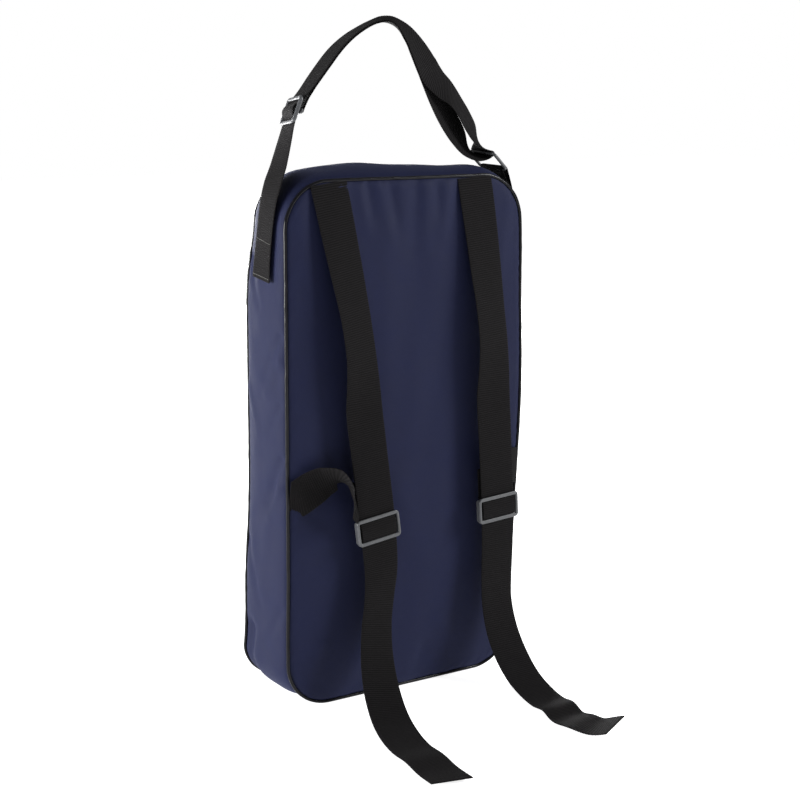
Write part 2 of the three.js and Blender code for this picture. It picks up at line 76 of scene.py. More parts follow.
def frame_size(node, axis):
    """How far a node of the frame reaches along one axis."""
    low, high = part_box(node)
    return high[axis] - low[axis]


def frame_middle(node):
    """The middle of a node's box."""
    low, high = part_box(node)
    return np.array((low + high) / 2)


BAG_WIDTH = frame_size("back_piping", 0)
BAG_HEIGHT = frame_size("back_piping", 2)
BAG_DEPTH = 2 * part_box("front_piping")[1][1]
PIPING_WIDTH = frame_size("back_piping", 1)
WEBBING_WIDTH = frame_size("carry_strap_sewn_end", 1)
WEBBING_THICKNESS = frame_size("carry_strap_sewn_end", 0)
FOLD_HEIGHT = 48 * MM
ZIP_X = float(frame_middle("zip_slider")[0])
ZIP_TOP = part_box("zip_coil_bag")[1][2] - 3 * MM
ZIP_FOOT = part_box("zip_coil_tail_left")[0][2]
ZIP_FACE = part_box("zip_tape_bag")[1][1]

CORNER_RADIUS = 44 * MM
ZIP_CORNER = 28 * MM
SLOT_HALF = 5.5 * MM
PANEL_INSET = 3.0 * MM
CLOTH = 1.2 * MM
GUSSET_HALF = BAG_DEPTH / 2 - PIPING_WIDTH + 0.4 * MM
PIPING_RADIUS = PIPING_WIDTH / 2
PANEL_RADIUS = CORNER_RADIUS - PANEL_INSET
EDGE_REACH = 30 * MM
BINDING_WIDTH = 10.2 * MM
ANCHOR_WIDTH = 37 * MM
HUMP_WIDTH = 37.6 * MM


# ---------- settings a user would change ----------

class ShoeBagCloth(bpy.types.PropertyGroup):
    """The shell's cloth"""

    colour: FloatVectorProperty(
        name="Cloth Colour", description="Colour of the shell's cloth", subtype="COLOR",
        size=3, min=0, max=1, default=(0.0064, 0.0083, 0.0280))
    thread_pitch: FloatProperty(
        name="Thread Pitch", description="Distance between neighbouring threads", unit="LENGTH",
        default=0.55 * MM, precision=5)
    back_crown: FloatProperty(
        name="Back Crown", description="How far the back panel swells", unit="LENGTH", default=2.2 * MM)
    side_crown: FloatProperty(
        name="Side Crown", description="How far the sides swell", unit="LENGTH", default=4 * MM)
    top_crown: FloatProperty(
        name="Top Crown", description="How far the top swells", unit="LENGTH", default=7.5 * MM)


class ShoeBagWebbing(bpy.types.PropertyGroup):
    """The straps' webbing"""

    colour: FloatVectorProperty(
        name="Webbing Colour", description="Colour of the webbing", subtype="COLOR",
        size=3, min=0, max=1, default=(0.0047, 0.0043, 0.0046))
    rib_pitch: FloatProperty(
        name="Rib Pitch", description="Distance between the ribs across the webbing", unit="LENGTH",
        default=2.06 * MM, precision=5)
    rib_depth: FloatProperty(
        name="Rib Depth", description="Depth of the grooves between the ribs", unit="LENGTH",
        default=0.26 * MM, precision=5)


class ShoeBagTrim(bpy.types.PropertyGroup):
    """The zip, the piping and the plastic fittings"""

    plastic: FloatVectorProperty(
        name="Plastic Colour", description="Colour of the adjusters and the ring", subtype="COLOR",
        size=3, min=0, max=1, default=(0.050, 0.052, 0.056))
    piping: FloatVectorProperty(
        name="Piping Colour", description="Colour of the piping", subtype="COLOR",
        size=3, min=0, max=1, default=(0.0035, 0.0035, 0.0045))
    coil_pitch: FloatProperty(
        name="Coil Pitch", description="Distance between the turns of the zip's coil", unit="LENGTH",
        default=1.5 * MM, precision=5)


class ShoeBagStage(bpy.types.PropertyGroup):
    """The floor, the lights and the camera"""

    floor: FloatVectorProperty(
        name="Floor Colour", description="Colour of the floor", subtype="COLOR",
        size=3, min=0, max=1, default=(0.86, 0.86, 0.86))
    light: FloatProperty(
        name="Light", description="Strength of the main light", unit="POWER", default=62)
    lens: FloatProperty(
        name="Lens", description="The camera's focal length in millimetres", default=69.63)
    azimuth: FloatProperty(
        name="Azimuth", description="Where the camera stands round the bag", subtype="ANGLE",
        default=math.radians(-31.542))
    elevation: FloatProperty(
        name="Elevation", description="How high the camera stands", subtype="ANGLE",
        default=math.radians(12.667))
    roll: FloatProperty(
        name="Roll", description="The camera's turn about its own line of sight", subtype="ANGLE",
        default=math.radians(0.396))
    distance: FloatProperty(
        name="Distance", description="How far the camera stands", unit="LENGTH", default=1.45109)


# ---------- meshes ----------

def grid_corners(rows, columns, wrap_rows=False, wrap_columns=False):
    """The row and the column of each face's four corners, one past the last where the grid wraps."""
    row, column = np.meshgrid(
        np.arange(rows - 1 + wrap_rows), np.arange(columns - 1 + wrap_columns), indexing="ij")
    return row.reshape(-1, 1) + [0, 1, 1, 0], column.reshape(-1, 1) + [0, 0, 1, 1]


def grid_quads(rows, columns, **wraps):
    """Four-sided faces of a grid of points numbered row by row, joined end to end where it wraps."""
    row, column = grid_corners(rows, columns, **wraps)
    return row % rows * columns + column % columns


def grid_uv(rows, columns, across, along, **wraps):
    """Each face's corners on the flat pattern, from how far its columns lie across and its rows along."""
    row, column = grid_corners(rows, columns, **wraps)
    return np.stack([across[column], along[row]], -1)


def in_space(flat, y=0.0):
    """Places or directions in x and z as ones in space, at a depth y."""
    return np.stack([flat[..., 0], 0 * flat[..., 0] + y, flat[..., 1]], -1)


def flat(x, z):
    """Places in x and z, from two arrays that are spread over the same grid."""
    return np.stack(np.broadcast_arrays(x, z), -1)


def face_normals(points, quads):
    """Each face's normal, the cross product of its diagonals, as long as twice its area."""
    corner = points[quads]
    return np.cross(corner[:, 2] - corner[:, 0], corner[:, 3] - corner[:, 1])


def add_object(name, data):
    """A mesh, a light or a camera as an object in the scene."""
    made = bpy.data.objects.new(name, data)
    bpy.context.scene.collection.objects.link(made)
    return made


def make_piece(name, shape, material):
    """A smooth mesh from (points, quads, corner_uv), its closed shells turned to face outwards."""
    points, quads, corner_uv = shape
    mesh = bpy.data.meshes.new(name)
    mesh.vertices.add(len(points))
    mesh.vertices.foreach_set("co", np.asarray(points, np.float32).ravel())
    mesh.loops.add(quads.size)
    mesh.loops.foreach_set("vertex_index", quads.astype(np.int32).ravel())
    mesh.polygons.add(len(quads))
    mesh.polygons.foreach_set("loop_start", np.arange(0, quads.size, 4, dtype=np.int32))
    mesh.polygons.foreach_set("use_smooth", np.ones(len(quads), bool))
    layer = mesh.uv_layers.new(name="Pattern")
    layer.data.foreach_set("uv", np.asarray(corner_uv, np.float32).ravel())
    mesh.update(calc_edges=True)
    shell = bmesh.new()
    shell.from_mesh(mesh)
    bmesh.ops.recalc_face_normals(shell, faces=shell.faces)
    shell.to_mesh(mesh)
    shell.free()
    mesh.materials.append(material)
    return add_object(name, mesh)


def finish_piece(piece, body, slot, *replaced):
    """Rides the piece on its body and hides the solids that it stands for."""
    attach(piece, body)
    if replaced:
        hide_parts(*replaced)


def unit(vectors):
    """Each vector divided by its length."""
    return vectors / np.maximum(np.linalg.norm(vectors, axis=-1, keepdims=True), 1e-12)


def lengths_along(points):
    """How far each point of a line is from its first, along the line."""
    steps = np.linalg.norm(np.diff(points, axis=0), axis=1)
    return np.concatenate([[0], np.cumsum(steps)])


def at_lengths(wanted, run, values):
    """Values known at each length of a run, read off at the wanted lengths."""
    return np.stack([np.interp(wanted, run, column) for column in values.T], -1)


def smooth_line(stations, step):
    """Places on a smooth curve through the stations, at equal steps of its length.

    Each stretch is a cubic that leaves and meets its stations along the line between their neighbours,
    and any further numbers that a station carries, such as a direction, go along with its place.
    """
    stations = np.asarray(stations, float)
    padded = np.vstack([2 * stations[0] - stations[1], stations, 2 * stations[-1] - stations[-2]])
    chord = np.maximum(np.linalg.norm(np.diff(padded[:, :3], axis=0), axis=1), 1e-9) ** 0.5
    knots = np.concatenate([[0], np.cumsum(chord)])
    share = np.linspace(knots[1], knots[-2], 40 * len(stations))
    piece = np.clip(np.searchsorted(knots, share, "right") - 1, 1, len(stations) - 1)

    def between(low, high, first, second):
        weight = ((share - low) / (high - low))[:, None]
        return first * (1 - weight) + second * weight

    knot = [knots[piece + i] for i in (-1, 0, 1, 2)]
    point = [padded[piece + i] for i in (-1, 0, 1, 2)]
    early = [between(knot[i], knot[i + 1], point[i], point[i + 1]) for i in range(3)]
    middle = [between(knot[i], knot[i + 2], early[i], early[i + 1]) for i in range(2)]
    dense = between(knot[1], knot[2], middle[0], middle[1])
    run = lengths_along(dense[:, :3])
    count = max(int(round(run[-1] / step)), 2) + 1
    wanted = np.linspace(0, run[-1], count)
    return at_lengths(wanted, run, dense)


def sweep(section, centres, sides, normals, closed=False):
    """A section carried along a line: point (a, b) goes to centre + a * side + b * normal.

    The section is closed, has an even count of points, and its first half mirrors its second, so that
    each open end is filled with four-sided faces. It may change from station to station.
    """
    section = np.broadcast_to(section, (len(centres),) + section.shape[-2:])
    sides, normals = (np.broadcast_to(way, centres.shape)[:, None] for way in (sides, normals))
    points = centres[:, None] + section[..., :1] * sides + section[..., 1:] * normals
    rows, columns = points.shape[:2]
    quads = grid_quads(rows, columns, wrap_rows=closed, wrap_columns=True)
    around = lengths_along(np.vstack([section[0], section[0][:1]]))
    along = lengths_along(np.vstack([centres, centres[:1]]))
    corner_uv = grid_uv(rows, columns, around, along, wrap_rows=closed, wrap_columns=True)
    if not closed:
        half = np.arange(columns // 2 - 1)
        cap = np.stack([half, half + 1, columns - 2 - half, columns - 1 - half], -1)
        caps = np.vstack([cap, cap + (rows - 1) * columns])
        quads = np.vstack([quads, caps])
        corner_uv = np.concatenate([corner_uv, np.zeros((len(caps), 4, 2))])
    return points.reshape(-1, 3), quads, corner_uv


def merge(shapes):
    """Several (points, quads, corner_uv) shapes as one."""
    points, quads, corner_uv = zip(*shapes)
    starts = np.cumsum([0] + [len(part) for part in points[:-1]])
    return (np.vstack(points), np.vstack([part + start for part, start in zip(quads, starts)]),
            np.concatenate(corner_uv))


def oval(width, height, count=12, fullness=2.0):
    """A closed section: an ellipse, or with more fullness a rounded box. Its halves mirror each other."""
    angle = (np.arange(count) + 0.5) / count * 2 * math.pi
    cosine, sine = np.cos(angle), np.sin(angle)
    power = 2 / fullness
    return np.stack([
        width / 2 * np.sign(cosine) * np.abs(cosine) ** power,
        height / 2 * np.sign(sine) * np.abs(sine) ** power], -1)


def thick_sheet(points, quads, corner_uv, thickness):
    """A closed sheet: the given face, a copy of it moved inwards along its normals, and a rim round it."""
    face_normal = face_normals(points, quads)
    normal = np.zeros_like(points)
    for i in range(4):
        np.add.at(normal, quads[:, i], face_normal)
    count = len(points)
    inner = points - unit(normal) * thickness
    edges = np.stack([quads, np.roll(quads, -1, axis=1)], -1).reshape(-1, 2)
    edge_uv = np.stack([corner_uv, np.roll(corner_uv, -1, axis=1)], 2).reshape(-1, 2, 2)
    _, first, uses = np.unique(np.sort(edges, 1), axis=0, return_index=True, return_counts=True)
    rim, rim_uv = edges[first[uses == 1]], edge_uv[first[uses == 1]]
    rim_quads = np.stack([rim[:, 1], rim[:, 0], rim[:, 0] + count, rim[:, 1] + count], -1)
    return (np.vstack([points, inner]),
            np.vstack([quads, quads[:, ::-1] + count, rim_quads]),
            np.concatenate([corner_uv, corner_uv[:, ::-1], rim_uv[:, [1, 0, 0, 1]]]))


def weld(patches):
    """Grids of (x, z) places joined where their points meet."""
    points, quads, _ = merge([
        (patch.reshape(-1, 2), grid_quads(*patch.shape[:2]), np.zeros((0, 4, 2))) for patch in patches])
    _, first, back = np.unique(np.round(points / (0.01 * MM)), axis=0, return_index=True, return_inverse=True)
    return points[first], back.reshape(-1)[quads]


def scatter(template, origins, axes):
    """A copy of one small shape at each origin, turned by that origin's three axes."""
    points, quads, _ = template
    placed = origins[:, None] + np.einsum("pk,nkj->npj", points, axes)
    every = (quads[None] + (np.arange(len(origins)) * len(points))[:, None, None]).reshape(-1, 4)
    return placed.reshape(-1, 3), every, np.zeros((len(every), 4, 2))


# ---------- the bag's form ----------

def outline(count, half_width=BAG_WIDTH / 2, low=0.0, high=BAG_HEIGHT, radius=CORNER_RADIUS):
    """Round a rounded rectangle in x and z, from the middle of its base towards +x, at equal steps.

    Gives the nearest point of the inner rectangle of arc centres, the outward direction and the length
    so far. A point of the outline is the inner point plus the radius times the direction.
    """
    side, rise, arc = half_width - radius, high - low - 2 * radius, math.pi / 2 * radius
    runs = np.array([side, arc, rise, arc, 2 * side, arc, rise, arc, side])
    ends = np.concatenate([[0], np.cumsum(runs)])
    turns = np.array([0, 0, 1, 1, 2, 2, 3, 3, 4, 4]) * math.pi / 2
    inner_x = np.array([0, 1, 1, 1, 1, -1, -1, -1, -1, 0]) * side
    inner_z = low + radius + np.array([0, 0, 0, 1, 1, 1, 1, 0, 0, 0]) * rise
    length = np.arange(count) / count * ends[-1]
    heading = np.interp(length, ends, turns)
    inner = at_lengths(length, ends, flat(inner_x, inner_z))
    return inner, flat(np.sin(heading), -np.cos(heading)), length


def edge_distance(x, z):
    """How far inside the bag's outline each place lies, from the distance to its rounded corners."""
    across = np.abs(x) - (BAG_WIDTH / 2 - CORNER_RADIUS)
    up = np.abs(z - BAG_HEIGHT / 2) - (BAG_HEIGHT / 2 - CORNER_RADIUS)
    outside = np.hypot(np.maximum(across, 0), np.maximum(up, 0))
    return CORNER_RADIUS - outside - np.minimum(np.maximum(across, up), 0)


def spots(u, v, places):
    """The sum of soft round bumps, each given as its place, its two half sizes and its height, in mm."""
    total = np.zeros(np.broadcast(u, v).shape)
    for place_u, place_v, size_u, size_v, height in places:
        total += height * MM * np.exp(
            -((u / MM - place_u) / size_u) ** 2 - ((v / MM - place_v) / size_v) ** 2)
    return total


def creases(u, v, places):
    """The sum of soft ridges, each given as its two ends, its half width and its height, in mm.

    A ridge falls off as the bell curve of the distance to the line between its ends.
    """
    total = np.zeros(np.broadcast(u, v).shape)
    for first_u, first_v, last_u, last_v, width, height in places:
        run_u, run_v = last_u - first_u, last_v - first_v
        share = ((u / MM - first_u) * run_u + (v / MM - first_v) * run_v) / (run_u ** 2 + run_v ** 2)
        share = np.clip(share, 0, 1)
        gap = np.hypot(u / MM - first_u - share * run_u, v / MM - first_v - share * run_v)
        total += height * MM * np.exp(-(gap / width) ** 2) * (1 - 0.6 * share)
    return total


def fading(distance, reach):
    """1 at no distance, and less by a factor of e at each reach, in mm, from there."""
    return np.exp(-distance / (reach * MM))


def ripples(u, v, size, seed, count=6):
    """Uneven waves about as long as the size, between -1 and 1: a mean of sines in seeded directions."""
    random = np.random.default_rng(seed)
    total = np.zeros(np.broadcast(u, v).shape)
    for _ in range(count):
        angle, phase, stretch = random.uniform(0, 2 * math.pi, 2).tolist() + [random.uniform(0.7, 1.4)]
        total += np.sin((u * math.cos(angle) + v * math.sin(angle)) * 2 * math.pi / (size * stretch) + phase)
    return total / count * 1.6


BACK_SEAM_DRIFT = [
    (127, 290, 40, 115, 7.0), (127, 430, 40, 40, 1.8), (-127, 60, 40, 45, 1.2), (-60, 495, 50, 40, 0.8)]
FRONT_SEAM_DRIFT = [
    (-112, 480, 48, 48, -6.5), (-127, 445, 40, 34, -4.6), (-40, 495, 55, 40, 4.2), (75, 495, 50, 40, -3.6),
    (-127, 105, 40, 62, 5.4), (-122, 52, 40, 34, 2.6), (-118, 20, 30, 28, 8.0), (127, 300, 40, 90, 1.5)]


def seam_drift(x, z, depth_share):
    """How far outwards the shell's edge has settled, from the back seam at -1 to the front seam at 1."""
    share = (1 + depth_share) / 2
    drift = spots(x, z, BACK_SEAM_DRIFT) * (1 - share) + spots(x, z, FRONT_SEAM_DRIFT) * share
    return drift * np.clip(z / (40 * MM), 0, 1)


def settle(places, depth_share):
    """Moves places near the edge of a panel with its seam, fading out at a distance inside it."""
    x, z = places[..., 0], places[..., 1]
    weight = np.clip(1 - edge_distance(x, z) / EDGE_REACH, 0, 1)
    weight = weight * weight * (3 - 2 * weight)
    core = np.clip(places, [-BAG_WIDTH / 2 + CORNER_RADIUS, CORNER_RADIUS],
                   [BAG_WIDTH / 2 - CORNER_RADIUS, BAG_HEIGHT - CORNER_RADIUS])
    return places + unit(places - core + 1e-9) * (seam_drift(x, z, depth_share) * weight)[..., None]


def side_crown(settings, normal):
    """The gusset's swell by which way it faces: most on the top, less on the sides, none on the base."""
    return settings.top_crown * np.maximum(normal[:, 1], 0) ** 2 + settings.side_crown * normal[:, 0] ** 2


GUSSET_DENTS = [
    (-27, 317, 7, 16, -1.3), (-14, 300, 10, 9, 0.7), (-18, 212, 7, 20, -1.1), (-24, 190, 9, 9, 0.6),
    (8, 250, 16, 60, 0.8), (20, 400, 12, 40, -0.7), (-10, 90, 14, 30, -0.8), (22, 150, 10, 40, 0.6)]


GUSSET_CREASES = [
    (-31, 356, -4, 316, 4, -2.0), (-31, 334, -8, 300, 4, 1.5), (-30, 292, -12, 264, 4, -1.4),
    (-31, 242, -8, 198, 4.5, -2.0), (-30, 216, -12, 184, 4, 1.4), (30, 150, 4, 96, 6, -1.5),
    (28, 420, 6, 380, 6, -1.6), (-30, 96, -8, 60, 5, -1.3), (30, 300, 8, 262, 6, 1.2),
    (24, 64, 26, 2, 9, -6.0), (-10, 180, 2, 110, 9, 0.9)]


def gusset_face(settings, inner, normal, depth):
    """The gusset's outer face: the outline carried from seam to seam, swelling between them.

    The swell follows 1 - |t|^2.6 of the depth share t, rolls in beside each seam, and has shallow dents.
    """
    share = depth / GUSSET_HALF
    swell = side_crown(settings, normal)[:, None] * (1 - np.abs(share) ** 2.6)
    from_seam = GUSSET_HALF - np.abs(depth)
    roll = -2.4 * MM * fading(from_seam, 2.2)
    x = inner[:, :1] + normal[:, :1] * CORNER_RADIUS
    z = inner[:, 1:] + normal[:, 1:] * CORNER_RADIUS
    upright = np.abs(normal[:, :1])
    loose = upright + np.maximum(normal[:, 1:], 0)
    dents = spots(depth, z, GUSSET_DENTS) * upright
    dents = dents + creases(depth + 0 * z, z + 0 * depth, GUSSET_CREASES) * upright
    waves = 0.35 * MM * ripples(x + z, depth * 2, 46 * MM, 4) * loose
    pull = 0.30 * MM * ripples(x * 2 + z, depth * 0, 11 * MM, 9) * loose
    pull = pull * fading(from_seam, 6)
    out = swell + roll + seam_drift(x, z, share) + dents + (waves * (1 - share ** 2)) + pull
    # the base stays flat, just clear of the floor
    out = np.where(normal[:, 1:] < -0.7, np.minimum(out, -0.3 * MM), out)
    return in_space(inner[:, None] + normal[:, None] * (CORNER_RADIUS + out)[..., None], depth)


BACK_SPOTS = [
    (10, 250, 34, 170, 1.1), (-100, 250, 14, 150, 0.6), (112, 200, 9, 140, 0.5),
    (-40, 120, 18, 90, -0.8), (60, 120, 16, 100, -0.7), (0, 60, 60, 30, 0.6)]


BACK_CREASES = [
    (-52, 492, -44, 446, 5, 1.6), (-43, 494, -38, 462, 3.5, -1.3), (-33, 494, -18, 436, 6, 1.7),
    (-20, 494, -12, 455, 4, -1.4), (-6, 494, -2, 440, 7, 1.3), (9, 495, 10, 462, 4.5, -1.3),
    (20, 494, 17, 430, 7, 1.6), (31, 495, 33, 458, 4, -1.4), (44, 495, 38, 440, 6, 1.7),
    (56, 494, 44, 420, 5, -1.2), (8, 455, 20, 330, 13, -1.2), (-28, 440, -20, 300, 14, 1.3),
    (-112, 470, -100, 380, 7, 1.0), (112, 470, 104, 400, 6, 1.0), (-118, 236, -60, 205, 9, -1.2),
    (-116, 190, -84, 160, 7, 1.0), (-12, 210, 22, 120, 14, 1.2), (40, 60, 66, 24, 8, 1.2),
    (-40, 52, -64, 18, 8, 1.2), (-92, 60, -110, 26, 7, 1.0), (20, 36, 12, 10, 6, -1.0)]


def back_face(settings, x, z):
    """How far out the back panel lies: crowned, drawn in at its seam, gathered under its top edge."""
    inside = np.maximum(edge_distance(x, z) - PANEL_INSET, 0)
    crown = settings.back_crown * (1 - fading(inside, 30))
    roll = -1.5 * MM * fading(inside, 1.8)
    gathers = creases(x, z, BACK_CREASES) * (1 - fading(inside, 4))
    seam_pull = 0.45 * MM * ripples(x * 1.7, z * 1.7, 15 * MM, 5) * fading(inside, 8)
    waves = 0.5 * MM * ripples(x * 1.6, z * 0.55, 70 * MM, 8)
    return crown + roll + gathers + seam_pull + spots(x, z, BACK_SPOTS) + waves * (inside > 0)


FRONT_CREASES = [
    (-70, 440, -30, 372, 10, 1.2), (66, 446, 28, 360, 12, -1.1), (-78, 330, -20, 300, 11, -1.0),
    (80, 300, 34, 250, 10, 1.1), (-60, 230, -10, 160, 13, 1.0), (70, 190, 20, 130, 12, -1.0),
    (-80, 130, -36, 96, 9, -1.0), (84, 110, 50, 74, 8, 0.9), (0, 420, 12, 330, 16, 0.8)]


def front_face(x, z):
    """How far out the front lies: flat at its zip, drawn in at its seam, softly waved between."""
    inside = np.maximum(edge_distance(x, z) - PANEL_INSET, 0)
    roll = -1.5 * MM * fading(inside, 1.8)
    from_zip = zip_offset(x, z)
    middle = 1 - np.exp(-(np.maximum(np.abs(from_zip) - SLOT_HALF, 0) / (28 * MM)) ** 2)
    low = np.clip((z - FOLD_HEIGHT) / (40 * MM), 0, 1)
    waves = 0.9 * MM * ripples(x, z * 0.7, 85 * MM, 14) * middle * low
    swell = 3.2 * MM * middle * low * (from_zip < 0)
    pull = 0.18 * MM * ripples(x * 1.5, z * 1.5, 13 * MM, 15) * fading(inside, 8)
    folds = creases(x, z, FRONT_CREASES) * middle * low
    return roll + waves + swell + pull + folds


def zip_offset(x, z):
    """How far outside the zip's centre line each place lies, from its distance to the upside-down U."""
    across = np.abs(x) - (ZIP_X - ZIP_CORNER)
    up = z - (ZIP_TOP - ZIP_CORNER)
    outside = np.hypot(np.maximum(across, 0), np.maximum(up, 0))
    return outside + np.minimum(np.maximum(across, up), 0) - ZIP_CORNER


def zip_line(foot, step):
    """Along the zip from its right foot, up, over the top and down to its left foot.

    Gives the point and the outward direction in x and z at about equal steps.
    """
    rise = ZIP_TOP - ZIP_CORNER - foot
    arc = math.pi / 2 * ZIP_CORNER
    ends = np.concatenate([[0], np.cumsum([rise, arc, 2 * (ZIP_X - ZIP_CORNER), arc, rise])])
    turns = np.array([0, 0, 1, 1, 2, 2]) * math.pi / 2
    core = flat(np.array([1, 1, 1, -1, -1, -1]) * (ZIP_X - ZIP_CORNER),
                [foot, foot + rise, foot + rise, foot + rise, foot + rise, foot])
    length = np.linspace(0, ends[-1], int(round(ends[-1] / step)) + 1)
    heading = np.interp(length, ends, turns)
    normal = flat(np.cos(heading), np.sin(heading))
    return at_lengths(length, ends, core) + ZIP_CORNER * normal, normal


def half_width_at(z, inset):
    """Half the width of the bag's outline, moved inwards by an inset, at each height."""
    r = CORNER_RADIUS - inset
    into_corner = np.maximum(np.maximum(CORNER_RADIUS - z, z - (BAG_HEIGHT - CORNER_RADIUS)), 0)
    return BAG_WIDTH / 2 - CORNER_RADIUS + np.sqrt(np.maximum(r * r - np.minimum(into_corner, r) ** 2, 0))


def corner_rows(low, high, radius, step):
    """Heights from low to high, close together where corners of that radius turn."""
    arc = radius * (1 - np.cos(np.linspace(0, math.pi / 2, 15)))
    straight = np.linspace(low + radius, high - radius, int((high - low - 2 * radius) / step) + 2)
    return np.concatenate([low + arc[:-1], straight, high - arc[:-1][::-1]])


def cloth_piece(name, points, quads, corner_uv):
    """A piece of the shell from its outer face, turned to look away from the middle of the bag."""
    away = points[quads].mean(1) - [0, 0, BAG_HEIGHT / 2]
    if (face_normals(points, quads) * away).sum() < 0:
        quads, corner_uv = quads[:, ::-1], corner_uv[:, ::-1]
    return make_piece(name, thick_sheet(points, quads, corner_uv, CLOTH), finish("cloth"))


def front_piece(name, places, quads):
    """A piece of the front: places in x and z, laid on the front's face."""
    points = in_space(settle(places, 1.0), BAG_DEPTH / 2 + front_face(*places.T))
    return cloth_piece(name, points, quads, places[quads])


# ---------- materials ----------

class Finish:
    """A material's node tree, with one short call for each kind of node."""

    def __init__(self, name, colour, roughness, metallic=0.0, specular=0.5):
        self.colour = colour
        self.material = bpy.data.materials.new(name)
        self.material.use_nodes = True
        self.tree = self.material.node_tree
        self.shader = self.tree.nodes["Principled BSDF"]
        self.set("Base Color", (*colour, 1))
        self.set("Roughness", roughness)
        self.set("Metallic", metallic)
        self.set("Specular IOR Level", specular)

    def set(self, socket, value):
        """Sets one of the shader's inputs."""
        self.shader.inputs[socket].default_value = value

    def link(self, value, socket):
        """Drives one of the shader's inputs."""
        self.tree.links.new(value, self.shader.inputs[socket])

    def node(self, kind, inputs, **settings):
        """Adds a node, sets its properties and fills its inputs, by name or number, with links or values."""
        made = self.tree.nodes.new(kind)
        for key, value in settings.items():
            setattr(made, key, value)
        for socket, value in inputs.items():
            if isinstance(value, bpy.types.NodeSocket):
                self.tree.links.new(value, made.inputs[socket])
            else:
                made.inputs[socket].default_value = value
        return made

    def math(self, operation, *values):
        """A sum on links or numbers."""
        return self.node("ShaderNodeMath", dict(enumerate(values)), operation=operation).outputs[0]

    def product(self, first, second):
        return self.math("MULTIPLY", first, second)

    def total(self, *shares):
        """The sum of values, each times its own share."""
        parts = [self.product(value, share) for value, share in shares]
        whole = parts[0]
        for part in parts[1:]:
            whole = self.math("ADD", whole, part)
        return whole

    def pattern(self):
        """The piece's own flat pattern, in metres, and its two numbers."""
        uv = self.node("ShaderNodeUVMap", {}, uv_map="Pattern").outputs[0]
        split = self.node("ShaderNodeSeparateXYZ", {0: uv})
        return uv, split.outputs[0], split.outputs[1]

    def place(self):
        """The place in the bag's own frame, in metres."""
        return self.node("ShaderNodeTexCoord", {}).outputs["Object"]

    def noise(self, vector, size, detail, roughness):
        """Uneven patches about as large as the size, from 0 to 1."""
        return self.node("ShaderNodeTexNoise", {
            "Vector": vector, "Scale": 1 / size, "Detail": detail, "Roughness": roughness}).outputs[0]

    def wave(self, along, pitch):
        """From 0 to 1 and back once in each pitch."""
        sine = self.math("SINE", self.product(along, 2 * math.pi / pitch))
        return self.math("MULTIPLY_ADD", sine, 0.5, 0.5)

    def dye(self, tone, dark, pale):
        """Tints the colour between a darker and a paler share of itself by a 0 to 1 tone."""
        low, high = ((*(min(part * share, 1) for part in self.colour), 1) for share in (dark, pale))
        self.link(self.node("ShaderNodeMix", {0: tone, 6: low, 7: high}, data_type="RGBA").outputs[2],
                  "Base Color")

    def polish(self, patches, low, high):
        """Lays the roughness between two values by a 0 to 1 value."""
        self.link(self.node("ShaderNodeMapRange", {0: patches, 1: 0.0, 2: 1.0, 3: low, 4: high}).outputs[0],
                  "Roughness")

    def relief(self, height, distance, strength, under=None):
        """Raises the surface by a 0 to 1 height times a distance, over another relief if one is given."""
        inputs = {"Strength": strength, "Distance": distance, "Height": height}
        if under is not None:
            inputs["Normal"] = under
        raised = self.node("ShaderNodeBump", inputs).outputs[0]
        self.link(raised, "Normal")
        return raised


def worn_finish(name, colour, roughness, wear, tones, polish=None, grain=None, **settings):
    """A plain hard surface: patches of wear, as (size, detail, roughness), tint it and change its gloss.

    A grain, as those three and its height and strength, raises it.
    """
    look = Finish(name, colour, roughness, **settings)
    place = look.place()
    patches = look.noise(place, *wear)
    look.dye(patches, *tones)
    if polish:
        look.polish(patches, *polish)
    if grain:
        look.relief(look.noise(place, *grain[:3]), *grain[3:])
    return look


def cloth_finish(settings):
    """Coated plain-weave polyester: crossing threads, a soft sheen, uneven dye and fine creases."""
    look = Finish("navy_polyester", settings.colour, 0.66, specular=0.10)
    uv, u, v = look.pattern()
    pitch = settings.thread_pitch
    over = look.product(look.wave(u, 2 * pitch), look.wave(v, pitch))
    under = look.product(look.math("SUBTRACT", 1.0, look.wave(u, 2 * pitch)),
                         look.wave(look.math("ADD", v, pitch / 2), pitch))
    dye = look.noise(uv, 26 * MM, 5, 0.6)
    fleck = look.noise(uv, 1.3 * MM, 2, 0.6)
    look.dye(look.total((dye, 0.65), (fleck, 0.35)), 0.82, 1.22)
    look.polish(dye, 0.56, 0.76)
    look.set("Sheen Weight", 0.055)
    look.set("Sheen Roughness", 0.45)
    look.set("Sheen Tint", (0.48, 0.54, 0.95, 1))
    crease = look.relief(look.noise(uv, 9 * MM, 4, 0.6), 0.25 * MM, 0.5)
    look.relief(look.math("ADD", over, under), 0.10 * MM, 0.6, crease)
    return look


def webbing_finish(settings):
    """Woven strapping: rows of small yarns in each rib, dull, with painted shade in the grooves, painted
    light on the ribs and worn patches.
    """
    look = Finish("black_webbing", settings.colour, 0.8, specular=0.05)
    uv, u, v = look.pattern()
    rib = look.wave(v, settings.rib_pitch)
    yarn = look.wave(look.math("ADD", u, look.product(v, 0.5)), 1.15 * MM)
    worn = look.noise(uv, 14 * MM, 4, 0.6)
    fuzz = look.noise(uv, 0.9 * MM, 3, 0.7)
    # the rib wave paints shade into the grooves and light onto the ribs; fuzz and worn patches vary the tone
    # at random
    look.dye(look.total((rib, 0.55), (fuzz, 0.25), (worn, 0.20)), 0.3, 2.1)
    look.polish(fuzz, 0.68, 0.92)
    look.set("Sheen Weight", 0.012)
    look.set("Sheen Roughness", 0.5)
    ribs = look.relief(rib, 0.22 * MM, 0.8)
    look.relief(look.product(yarn, fuzz), 0.16 * MM, 0.7, ribs)
    return look


